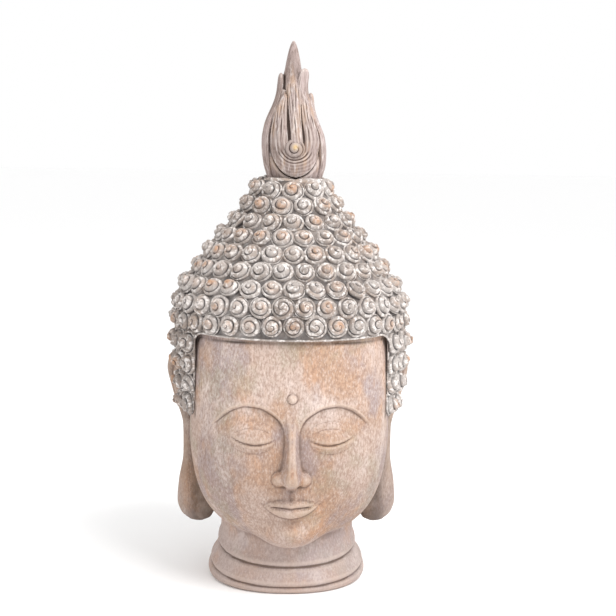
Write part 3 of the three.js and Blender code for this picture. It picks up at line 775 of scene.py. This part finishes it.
def ear_relief(u, z):
    """Carving of the ear's outer face. u runs from -1 at its front edge to 1 at its rim."""
    zn = (z - 262) / 60
    from_middle = np.hypot(u, zn)
    behind = u + np.maximum(zn, 0)
    upper = step(196, 226, z)
    rim = 2.4 * bell(from_middle - 0.9, 0.2) * step(-0.75, -0.3, behind)
    valley = -4.2 * bell(from_middle - 0.6, 0.12) * step(-0.5, 0, behind)
    fold = 3.2 * bell(np.hypot(u - 0.05, (z - 252) / 52) - 0.42, 0.12)
    fold = fold * step(-0.3, 0.2, u + 0.4 * zn)
    shell = -9.5 * bell(np.hypot((u + 0.2) / 0.42, (z - 246) / 24), 1.0)
    flap = 3.5 * bell(u + 0.8, 0.2) * bell(z - 238, 10)
    lobe = -3.4 * bell(u + 0.1, 0.4) * bell(z - 150, 46)
    return upper * (rim + valley + fold + shell + flap) + lobe


def ear(side):
    heights = np.concatenate([
        EAR_BOTTOM_Z + 7 * (1 - np.cos(np.linspace(0, math.pi / 2, 6)))[:-1],
        np.arange(78, 312, 2.2),
        EAR_TOP_Z - 9 * (1 - np.sin(np.linspace(0, math.pi / 2, 7))),
    ])
    corners = 44
    a = np.linspace(0, 2 * math.pi, corners, endpoint=False) * -side
    z, a = np.meshgrid(heights, a, indexing="ij")
    u = np.cos(a)
    wide = ear_half_width(z) * u
    face = np.maximum(np.sin(a), 0)
    thick = ear_half_thickness(z) * np.sin(a) + ear_relief(u, z) * np.sqrt(face)
    s, c = np.sin(ear_turn(z)), np.cos(ear_turn(z))
    x = ear_x(z) + wide * s + thick * c
    y = EAR_Y + wide * c - thick * s
    return loft(np.stack([side * x, y, z], axis=-1))


# ---------------------------------------------------------------- flame finial

FLAME_FOOT_Z = CROWN_Z + 0.3
FLAME_DEPTH = 0.92  # the body's depth from front to back, as a share of its width
BELLY_Z = 609.0
BOSS_Z = BELLY_Z + 2
BOSS_RADIUS = 14.0
BOSS_HEIGHT = 7.5
BOSS_TURNS = 1.9

flame_core = through([
    (FLAME_FOOT_Z, 33), (578, 36), (590, 38.5), (BELLY_Z, 39.5), (626, 38.5), (643, 35), (659, 31),
    (676, 25.5), (690, 20.5), (705, 15.5), (721, 11.5), (735, 9), (748, 6.2), (756, 3.6),
    (TOTAL_HEIGHT, 1.2),
])

# The strands on the front and on the back: where each runs, how wide it is, and where it ends.
FLAME_STRANDS = (
    (through([(590, 3.5), (640, 2.5), (680, 1), (740, 0)]),
     through([(600, 8), (640, 7.5), (675, 8), (700, 11), (740, 9)]), 752),
    (through([(580, -20), (630, -19), (660, -16), (692, -12)]),
     through([(585, 10), (625, 11), (660, 8), (692, 6)]), 692),
    (through([(580, 23), (620, 23), (665, 17), (700, 15)]),
     through([(585, 9), (620, 10), (665, 7.5), (700, 6)]), 712),
)
BIB_HALF_WIDTH = 34.0
BIB_MIDDLE_Z = 617.0
BIB_DROP = 46.0  # from the bib's middle to its round lower end


def flame_lean(z):
    """The flame's foot stands a little to one side of the crown's middle."""
    return CROWN_OFFSET * step(668, FLAME_FOOT_Z, z)


def flame_strands(x, z):
    """Height of the long strands that rise from the scroll, with fine lines cut along each."""
    height = np.zeros_like(x)
    for middle, half, end in FLAME_STRANDS:
        u = (x - middle(z)) / half(z)
        lines = 0.28 * np.cos(14 * u + 2 * np.sin(z / 21)) * (np.abs(u) < 0.9)
        body = 4.6 * np.sqrt(np.maximum(0, 1 - u * u)) + lines
        height = np.maximum(height, body * step(end, end - 14, z) * step(602, 622, z))
    return height


def fine_lines(turn, z):
    """Uneven fine lines that run up the flame."""
    return (
        0.16 * np.cos(turn * 41 + 2 * np.sin(z / 19))
        + 0.14 * np.cos(turn * 63 + 3 * np.sin(z / 31 + 1) + 2 * np.sin(3 * turn))
        + 0.12 * np.cos(turn * 87 + 2 * np.sin(z / 12 + 2) + 3 * np.sin(5 * turn))
    )


def flame_heart():
    """The flame's body, a round bib on its front and back and strands that rise from it.

    Returns its points, its faces, and 1 for each point in a cut line or gap painted dark as shade.
    """
    heights = np.concatenate([
        np.arange(FLAME_FOOT_Z, 700, 1.3), np.arange(700, 756, 1.8),
        [756, 757.5, 758.8, 759.6, TOTAL_HEIGHT],
    ])
    turns = np.linspace(0, 2 * math.pi, 240, endpoint=False)
    z, turn = np.meshgrid(heights, turns, indexing="ij")
    core = flame_core(z)
    s, c = np.sin(turn), np.cos(turn)
    x = core * s
    facing = step(0.1, 0.45, np.abs(c))
    fall = clamp((BIB_MIDDLE_Z - z) / BIB_DROP)
    round_end = BIB_HALF_WIDTH * np.sqrt(np.maximum(0, 1 - fall**2))
    narrowing = mix(BIB_HALF_WIDTH, 12, step(BIB_MIDDLE_Z, 705, z))
    bib_half = np.where(z < BIB_MIDDLE_Z, round_end, narrowing)
    edge = bib_half - np.abs(x)
    bib = 2.6 * step(-0.8, 2.2, edge) * step(716, 660, z)
    line = -5.0 * bell(edge + 1.0, 2.0) * step(660, 620, z)
    away = np.hypot(x, 1.1 * (z - BOSS_Z))
    arcs = np.cos(2 * math.pi * (away - 15) / 4.6 + 0.5 * np.sin(x / 5)) * step(13, 16, away)
    arcs = arcs * step(BELLY_Z + 4, BELLY_Z - 8, z) * mix(0.6, 0.14, step(15, 27, away))
    strands = flame_strands(x * np.sign(c), z) * step(720, 690, z)
    lines = fine_lines(turn, z) * step(569, 585, z) * step(757, 730, z)
    lines = lines * (0.1 + 0.9 * step(598, 636, z))
    r = core + facing * (bib + line + (arcs + strands) * step(-1, 4, edge)) + lines
    # Painted shade: dark in the bib's outline groove, in the gaps between strands and beside the
    # tongues.
    outline = bell(edge + 1.0, 2.0) * step(655, 618, z)
    gaps = step(2.4, 0.4, strands) * step(4, 8, edge) * step(616, 628, z) * step(690, 640, z)
    beside_tip = bell(x + 12.5, 3) * step(684, 694, z) * step(724, 708, z)
    other_side = 0.7 * bell(x - 9.5, 1.8) * step(668, 682, z) * step(718, 700, z)
    cuts = facing * np.maximum.reduce([outline, gaps, beside_tip, other_side])
    points, faces = loft(np.stack([r * s + flame_lean(z), -FLAME_DEPTH * r * c, z], axis=-1))
    return points, faces, np.append(cuts.ravel(), [0, 0])


TONGUE_HALF_DEPTH = 7.0
tongue_swell = through([
    (0, 0.75), (0.35, 1), (0.7, 0.85), (0.88, 0.74), (0.96, 0.56), (0.99, 0.34), (1, 0.1),
])


def tongue(turn, tip, reach, width, lift, foot=FLAME_FOOT_Z):
    """A tongue that hugs the core from its foot up and ends in a free tip.

    One whose foot lies higher than the flame's grows out of the core there.
    """
    levels = np.concatenate([np.linspace(0, 0.96, 60), [0.975, 0.987, 0.995, 1]])
    corners = 56
    a = np.linspace(0, 2 * math.pi, corners, endpoint=False)
    t, a = np.meshgrid(levels, a, indexing="ij")
    z = mix(foot, tip, t)
    sunk = 0 if foot == FLAME_FOOT_Z else 9 * step(0.4, 0, t)
    out = mix(flame_core(z) + lift - TONGUE_HALF_DEPTH - sunk, reach, step(0.5, 1, t))
    swell = tongue_swell(t)
    flutes = 1 + 0.018 * np.cos(11 * a + 2 * np.sin(z / 17))
    flutes = flutes + 0.016 * np.cos(17 * a + 1 + 2 * np.sin(z / 23))
    radial = out + TONGUE_HALF_DEPTH * swell * np.cos(a) * flutes
    along = width * swell * np.sin(a) * flutes + 1.5 * np.sin(t * 7 + turn)
    x = radial * math.sin(turn) + along * math.cos(turn)
    y = along * math.sin(turn) - radial * math.cos(turn)
    return loft(np.stack([x + flame_lean(z), y, z], axis=-1))


def scroll(face):
    """The coiled boss on the front (face -1) or the back (face 1) of the flame."""
    points, faces, _ = snail(BOSS_RADIUS, BOSS_HEIGHT, BOSS_TURNS, per_turn=24, groove=1.4)
    x = flame_lean(BOSS_Z) - points[:, 0]
    y = face * (FLAME_DEPTH * (flame_core(BOSS_Z) + 3.2) + points[:, 2])
    z = BOSS_Z + points[:, 1] * face
    return np.stack([x, y, z], axis=-1), faces


FLAME_TONGUES = (
    dict(turn=-math.pi / 2, tip=716, reach=17, width=19, lift=6),
    dict(turn=math.pi / 2, tip=689, reach=25, width=20, lift=6),
    dict(turn=0.9, tip=722, reach=19, width=13, lift=3.5, foot=628),
    dict(turn=-0.75, tip=693, reach=17, width=13, lift=3, foot=628),
    dict(turn=math.pi + 0.8, tip=715, reach=18, width=13, lift=3, foot=628),
    dict(turn=math.pi - 0.75, tip=695, reach=18, width=13, lift=3, foot=628),
)

# ---------------------------------------------------------------- assembly


def with_hollows(name, parts, passes, spacing, more):
    """An object whose points know how deep they lie in fine and in broad hollows."""
    fine = np.concatenate([hollows(p, f, passes[0], spacing) for p, f in parts])
    broad = np.concatenate([hollows(p, f, passes[1], spacing) for p, f in parts])
    return make_object(name, parts, [("fine_hollow", fine), ("broad_hollow", broad), *more])


def painted_shade_lines(points):
    """1 in thin lines of painted shade: where the face meets the hair and along the neck's folds."""
    x, y, z = points.T
    below_edge = 5.1 + np.maximum(opening_sag(x, FACE_HALF_WIDTH), 0)
    inside = mix(0.4, below_edge, step(HAIRLINE_Z - 18, HAIRLINE_Z - 9, z))
    painted_crease_shade = bell(opening_depth(x, z) - inside, 1.3) * step(-60, -100, y)
    painted_crease_shade = painted_crease_shade * step(SIDEBURN_Z, SIDEBURN_Z + 10, z)
    folds = sum(bell(above_fold(height, droop, x, y, z), 1.9) for height, droop in NECK_FOLDS)
    return np.maximum(painted_crease_shade, 0.38 * folds)


def beside_head(points):
    """The ears' shade where they come close to the head, strongest on the lobes."""
    x, _, z = points.T
    near = step(152, 130, np.abs(x)) * step(232, 200, z)
    return 0.72 * near


def boss_tip(points):
    """1 on the golden peak of a boss, falling to 0 around it."""
    from_peak = np.hypot(points[:, 0] - flame_lean(BELLY_Z), points[:, 2] - BELLY_Z - 4)
    return bell(from_peak, 3.6)


def count_points(parts):
    return sum(len(points) for points, _ in parts)


CAP_PAINTED_SHADE = 0.72  # how much painted shade darkens the plain surface between the curls, from 0 to 1
BOSS_CUT = 0.5  # how much the flame's bosses are darkened, from 0 to 1

skin_part = head_skin()
skin_shade_lines = painted_shade_lines(skin_part[0])
skin_piece = with_hollows("face_and_neck", [skin_part], passes=(5, 60), spacing=1.45, more=[
    ("painted_crease_shade", skin_shade_lines),
])

ear_parts = [ear(-1), ear(1)]
ear_points = np.vstack([points for points, _ in ear_parts])
ear_piece = with_hollows("ears", ear_parts, passes=(4, 40), spacing=2.2, more=[
    ("painted_crease_shade", beside_head(ear_points)),
])

heart_points, heart_faces, heart_cut_shade = flame_heart()
bosses = [scroll(-1), scroll(1)]
tongues = [tongue(**shape) for shape in FLAME_TONGUES]
boss_tips = [boss_tip(points) for points, _ in bosses]
plain = np.zeros(count_points(tongues))
flame_parts = [(heart_points, heart_faces)] + bosses + tongues
# The cut values: painted shade in the heart's cut lines and gaps, and an even darkening of the bosses.
flame_piece = with_hollows("flame", flame_parts, passes=(3, 24), spacing=1.5, more=[
    ("cut", np.concatenate([heart_cut_shade, np.full(count_points(bosses), BOSS_CUT), plain])),
    ("tip", np.concatenate([np.zeros(len(heart_points)), *boss_tips, plain])),
])

curl_parts, curl_tips, curl_painted_shade, curl_tones = curls()
cap_part = hair_cap()
edges = [collar(), hair_rim()]
plain_parts = [cap_part] + edges
rest = count_points(plain_parts)
cap_painted_shade = np.full(count_points([cap_part]), CAP_PAINTED_SHADE)
hair_piece = make_object("hair", curl_parts + plain_parts, [
    ("tip", np.concatenate([curl_tips, np.zeros(rest)])),
    ("tone", np.concatenate([curl_tones, np.full(rest, 0.5)])),
    ("groove", np.concatenate([curl_painted_shade, cap_painted_shade, np.zeros(count_points(edges))])),
])

# ---------------------------------------------------------------- materials


def srgb(red, green, blue):
    """A colour given by its usual 0 to 255 values, as Blender wants it."""
    linear = [((c / 255 + 0.055) / 1.055) ** 2.4 if c > 10 else c / 3294.6 for c in (red, green, blue)]
    return (*linear, 1.0)


class Stone:
    """A procedural stone material: a base colour with layers of other colours over it."""

    def __init__(self, name, colour):
        self.material = bpy.data.materials.new(name)
        self.material.use_nodes = True
        self.nodes = self.material.node_tree.nodes
        self.links = self.material.node_tree.links
        self.shader = self.nodes["Principled BSDF"]
        self.place = self.nodes.new("ShaderNodeTexCoord").outputs["Object"]
        self.colour = srgb(*colour)

    def link(self, source, socket):
        self.links.new(source, socket)

    def noise(self, scale, detail=4.0, rough=0.55, stretch=(1, 1, 1), twist=0.0):
        mapping = self.nodes.new("ShaderNodeMapping")
        mapping.inputs["Scale"].default_value = stretch
        self.link(self.place, mapping.inputs["Vector"])
        node = self.nodes.new("ShaderNodeTexNoise")
        node.inputs["Scale"].default_value = scale
        node.inputs["Detail"].default_value = detail
        node.inputs["Roughness"].default_value = rough
        node.inputs["Distortion"].default_value = twist
        self.link(mapping.outputs["Vector"], node.inputs["Vector"])
        return node.outputs["Fac"]

    def value(self, name):
        node = self.nodes.new("ShaderNodeAttribute")
        node.attribute_name = name
        return node.outputs["Fac"]

    def height(self):
        """Height over the foot, in metres."""
        node = self.nodes.new("ShaderNodeSeparateXYZ")
        self.link(self.place, node.inputs["Vector"])
        return node.outputs["Z"]

    def spread(self, source, low, high, to_low=0.0, to_high=1.0):
        """The source's range from low to high, eased into another range."""
        node = self.nodes.new("ShaderNodeMapRange")
        node.interpolation_type = "SMOOTHSTEP"
        limits = {"From Min": low, "From Max": high, "To Min": to_low, "To Max": to_high}
        for socket, number in limits.items():
            node.inputs[socket].default_value = number
        self.link(source, node.inputs["Value"])
        return node.outputs["Result"]

    def combine(self, operation, a, b):
        node = self.nodes.new("ShaderNodeMath")
        node.operation = operation
        for socket, value in zip(node.inputs, (a, b)):
            if isinstance(value, (int, float)):
                socket.default_value = value
            else:
                self.link(value, socket)
        return node.outputs["Value"]

    def times(self, a, b):
        return self.combine("MULTIPLY", a, b)

    def plus(self, a, b):
        return self.combine("ADD", a, b)

    def coat(self, colour, amount):
        """Lays a colour over those before it, as strongly as the amount says."""
        node = self.nodes.new("ShaderNodeMix")
        node.data_type = "RGBA"
        if isinstance(self.colour, tuple):
            node.inputs[6].default_value = self.colour
        else:
            self.link(self.colour, node.inputs[6])
        node.inputs[7].default_value = srgb(*colour)
        self.link(amount, node.inputs[0])
        self.colour = node.outputs[2]

    def finish(self, rough, height, distance):
        self.link(self.colour, self.shader.inputs["Base Color"])
        self.link(rough, self.shader.inputs["Roughness"])
        self.shader.inputs["Specular IOR Level"].default_value = 0.25
        bump = self.nodes.new("ShaderNodeBump")
        bump.inputs["Strength"].default_value = 0.8
        bump.inputs["Distance"].default_value = distance
        self.link(height, bump.inputs["Height"])
        self.link(bump.outputs["Normal"], self.shader.inputs["Normal"])
        return self.material


def skin_stone(name, shade):
    """Pink-beige wash over stone, with tan, lilac, mossy and pale patches and fine brushed grain,
    and painted shade in hollows and crease lines and towards the bottom.

    shade, from 0 to 1, is how much patchy dirt and painted shade darken it.
    """
    m = Stone(name, (198, 176, 164))
    patches = m.spread(m.noise(9, 5, 0.6, twist=0.6), 0.42, 0.62)
    m.coat((188, 154, 130), patches)
    streaks = m.spread(m.noise(19, 4, 0.6, (1, 1, 0.45)), 0.5, 0.64, 0.0, 0.66)
    m.coat((203, 158, 126), streaks)
    lilac = m.spread(m.noise(13, 4, 0.6, (1, 1, 0.6)), 0.5, 0.62, 0.0, 0.75)
    m.coat((166, 154, 156), lilac)
    mossy = m.spread(m.noise(15, 4, 0.6, (1, 1, 0.8), 0.4), 0.53, 0.66, 0.0, 0.5)
    m.coat((170, 162, 142), mossy)
    pale = m.spread(m.noise(24, 6, 0.65, (1, 1, 0.5)), 0.5, 0.68, 0.0, 0.72)
    m.coat((224, 207, 199), pale)
    grain = m.spread(m.noise(420, 3, 0.7, (1, 1, 0.45)), 0.38, 0.64, 0.0, 0.5)
    m.coat((128, 98, 82), grain)
    flecks = m.spread(m.noise(130, 4, 0.65, (1, 1, 0.6)), 0.54, 0.68, 0.0, 0.42)
    m.coat((140, 112, 98), flecks)
    brushed = m.spread(m.noise(380, 3, 0.65, (1, 1, 0.5)), 0.5, 0.68, 0.0, 0.36)
    m.coat((232, 216, 206), brushed)
    worn = m.spread(m.value("fine_hollow"), -0.03, -0.25, 0.0, 0.45)
    m.coat((212, 190, 173), worn)
    lilac_neck = m.spread(m.height(), 0.1, 0.06, 0.0, 0.4)
    m.coat((198, 187, 187), lilac_neck)
    # Painted shade: the stone is darker towards the bottom, as if lit less from above.
    lower = m.spread(m.height(), 0.3, 0.17, 0.0, 0.19)
    m.coat((110, 88, 76), lower)
    # Painted shade: darker in broad and in fine hollows.
    broad = m.spread(m.value("broad_hollow"), 0.3, 2.6, 0.0, 0.42)
    m.coat((128, 108, 99), broad)
    dark = m.spread(m.value("fine_hollow"), 0.05, 0.45, 0.0, 0.72)
    m.coat((96, 76, 65), dark)
    # Painted shade along the crease lines: under the hair's edge, in the neck's folds, and on the ears
    # beside the head.
    uneven = m.spread(m.noise(45, 3), 0.35, 0.6, 0.68, 0.95)
    painted_crease_shade = m.times(m.value("painted_crease_shade"), uneven)
    m.coat((52, 42, 37), painted_crease_shade)
    # Patchy dirt and painted shade, strong on the ears.
    dirt_and_painted_shade = m.spread(m.noise(17, 4, 0.6), 0.3, 0.7, 0.5 * shade, shade)
    m.coat((92, 78, 66), dirt_and_painted_shade)
    rough = m.spread(m.noise(60, 3), 0.3, 0.7, 0.74, 0.92)
    pits = m.times(m.noise(120, 4, 0.6), 1.4)
    height = m.plus(m.noise(520, 4, 0.7, (1, 1, 0.5)), pits)
    return m.finish(rough, height, 0.0007)


def hair_stone():
    """Grey stone with a pale wash, tan on many tips, and painted shade in and between the coils."""
    m = Stone("washed_hair_stone", (178, 170, 165))
    patches = m.spread(m.noise(11, 4, 0.6), 0.4, 0.62)
    m.coat((152, 141, 134), patches)
    warm = m.spread(m.noise(34, 3, 0.6), 0.5, 0.7, 0.0, 0.6)
    m.coat((170, 149, 134), warm)
    pale = m.spread(m.noise(150, 4, 0.7), 0.47, 0.64, 0.0, 0.9)
    m.coat((236, 230, 226), pale)
    grain = m.spread(m.noise(330, 3, 0.7), 0.54, 0.7, 0.0, 0.55)
    m.coat((98, 88, 82), grain)
    tone = m.spread(m.value("tone"), 0.3, 0.9)
    warm_tip = m.times(m.spread(m.value("tip"), 0.2, 0.8), tone)
    uneven = m.spread(m.noise(105, 3, 0.6), 0.38, 0.62, 0.15, 0.9)
    warm_tip = m.times(warm_tip, uneven)
    m.coat((182, 142, 113), warm_tip)
    # Painted shade in the coils' grooves and on the plain surface between the curls, broken up.
    broken = m.spread(m.noise(75, 3), 0.3, 0.62, 0.4, 1.0)
    groove = m.times(m.spread(m.value("groove"), 0.2, 0.9), broken)
    m.coat((62, 57, 57), groove)
    rough = m.spread(m.noise(60, 3), 0.3, 0.7, 0.74, 0.95)
    pits = m.times(m.noise(140, 4, 0.6), 1.5)
    height = m.plus(m.noise(420, 4, 0.7), pits)
    return m.finish(rough, height, 0.001)


def flame_stone():
    """The flame: grey-lilac wash streaked along the strands, painted shade in hollows and cut lines.
    """
    m = Stone("washed_flame_stone", (180, 163, 160))
    patches = m.spread(m.noise(14, 4, 0.6, (1, 1, 0.4)), 0.4, 0.62)
    m.coat((148, 131, 124), patches)
    streaks = m.spread(m.noise(420, 4, 0.65, (1, 1, 0.07)), 0.44, 0.62, 0.0, 0.7)
    m.coat((118, 101, 94), streaks)
    tan = m.spread(m.noise(60, 3, 0.6, (1, 1, 0.25)), 0.5, 0.66, 0.0, 0.6)
    m.coat((176, 146, 122), tan)
    pale = m.spread(m.noise(160, 4, 0.65, (1, 1, 0.2)), 0.52, 0.7, 0.0, 0.7)
    m.coat((216, 206, 202), pale)
    worn = m.spread(m.value("fine_hollow"), -0.02, -0.25, 0.0, 0.38)
    m.coat((216, 203, 195), worn)
    # Painted shade in broad and in fine hollows.
    broad = m.spread(m.value("broad_hollow"), 0.15, 1.3, 0.0, 0.75)
    m.coat((92, 76, 67), broad)
    dark = m.spread(m.value("fine_hollow"), 0.02, 0.24, 0.0, 0.85)
    m.coat((64, 50, 43), dark)
    # Painted shade in the cut lines and gaps, and an even darkening of the bosses.
    cut = m.spread(m.value("cut"), 0.3, 0.9, 0.0, 0.95)
    m.coat((58, 45, 39), cut)
    golden = m.times(m.value("tip"), 0.7)
    m.coat((226, 194, 138), golden)
    rough = m.spread(m.noise(60, 3), 0.3, 0.7, 0.74, 0.95)
    height = m.plus(m.noise(420, 4, 0.7, (1, 1, 0.2)), m.noise(120, 4, 0.6, (1, 1, 0.3)))
    return m.finish(rough, height, 0.0008)


# How much patchy dirt and painted shade each stone takes.
FACE_SHADE = 0.06
EAR_SHADE = 0.46

for piece, stone in (
    (skin_piece, skin_stone("washed_face_stone", FACE_SHADE)),
    (ear_piece, skin_stone("washed_ear_stone", EAR_SHADE)),
    (hair_piece, hair_stone()),
    (flame_piece, flame_stone()),
):
    piece.data.materials.clear()
    piece.data.materials.append(stone)

for piece in (skin_piece, hair_piece, ear_piece):
    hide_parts("head")
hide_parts("flame_finial")
for piece in (skin_piece, hair_piece, ear_piece, flame_piece):
    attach(piece, "root")
    triangles = sum(len(p.vertices) - 2 for p in piece.data.polygons)
    print(piece.name, triangles, "triangles", [round(v / MM) for v in piece.dimensions])

# ---------------------------------------------------------------- camera, floor and light

scene = bpy.context.scene
lower, upper = (np.array(corner) for corner in CAD_BOX)
middle = Vector((0, 0, (lower[2] + upper[2]) / 2))

CAMERA_FROM = Vector((-0.063, -1.799, 0.605))
CAMERA_LENS = 74.2
CAMERA_ROLL = math.radians(0.93)
CAMERA_AIM = Vector((0.026, 0, 0.3856))
FLOOR_HALF_SIZE = 40.0  # in metres, as the values below are
FLOOR_GAP = 0.0002
KEY_PLACE = (1.2, -1.35, 2.35)
KEY_SIZE = 1.5
KEY_POWER = 62


def add_camera():
    data = bpy.data.cameras.new("camera")
    data.lens = CAMERA_LENS
    data.sensor_width = 36
    camera = bpy.data.objects.new("camera", data)
    camera.location = CAMERA_FROM
    turn = (CAMERA_AIM - CAMERA_FROM).to_track_quat("-Z", "Y")
    camera.rotation_euler = (turn @ Quaternion((0, 0, 1), CAMERA_ROLL)).to_euler()
    scene.collection.objects.link(camera)
    scene.camera = camera


def add_key_light():
    data = bpy.data.lights.new("key", "AREA")
    data.size = KEY_SIZE
    data.energy = KEY_POWER
    lamp = bpy.data.objects.new("key", data)
    lamp.location = KEY_PLACE
    lamp.rotation_euler = (middle - Vector(KEY_PLACE)).to_track_quat("-Z", "Y").to_euler()
    scene.collection.objects.link(lamp)


def add_floor():
    size = FLOOR_HALF_SIZE
    corners = [(-size, -size, 0), (size, -size, 0), (size, size, 0), (-size, size, 0)]
    floor = make_object("floor", [(np.array(corners) / MM, [(0, 1, 2, 3)])])
    floor.location.z = float(lower[2]) - FLOOR_GAP
    paint = bpy.data.materials.new("pale_floor")
    paint.use_nodes = True
    shader = paint.node_tree.nodes["Principled BSDF"]
    shader.inputs["Base Color"].default_value = (0.99, 0.99, 0.99, 1)
    shader.inputs["Roughness"].default_value = 0.9
    floor.data.materials.append(paint)


def add_world():
    world = bpy.data.worlds.new("studio")
    scene.world = world
    world.use_nodes = True
    background = world.node_tree.nodes["Background"]
    background.inputs["Color"].default_value = (1, 1, 1, 1)
    background.inputs["Strength"].default_value = 1.0


add_camera()
add_floor()
add_world()
add_key_light()
scene.view_settings.view_transform = "Standard"
scene.view_settings.look = "None"
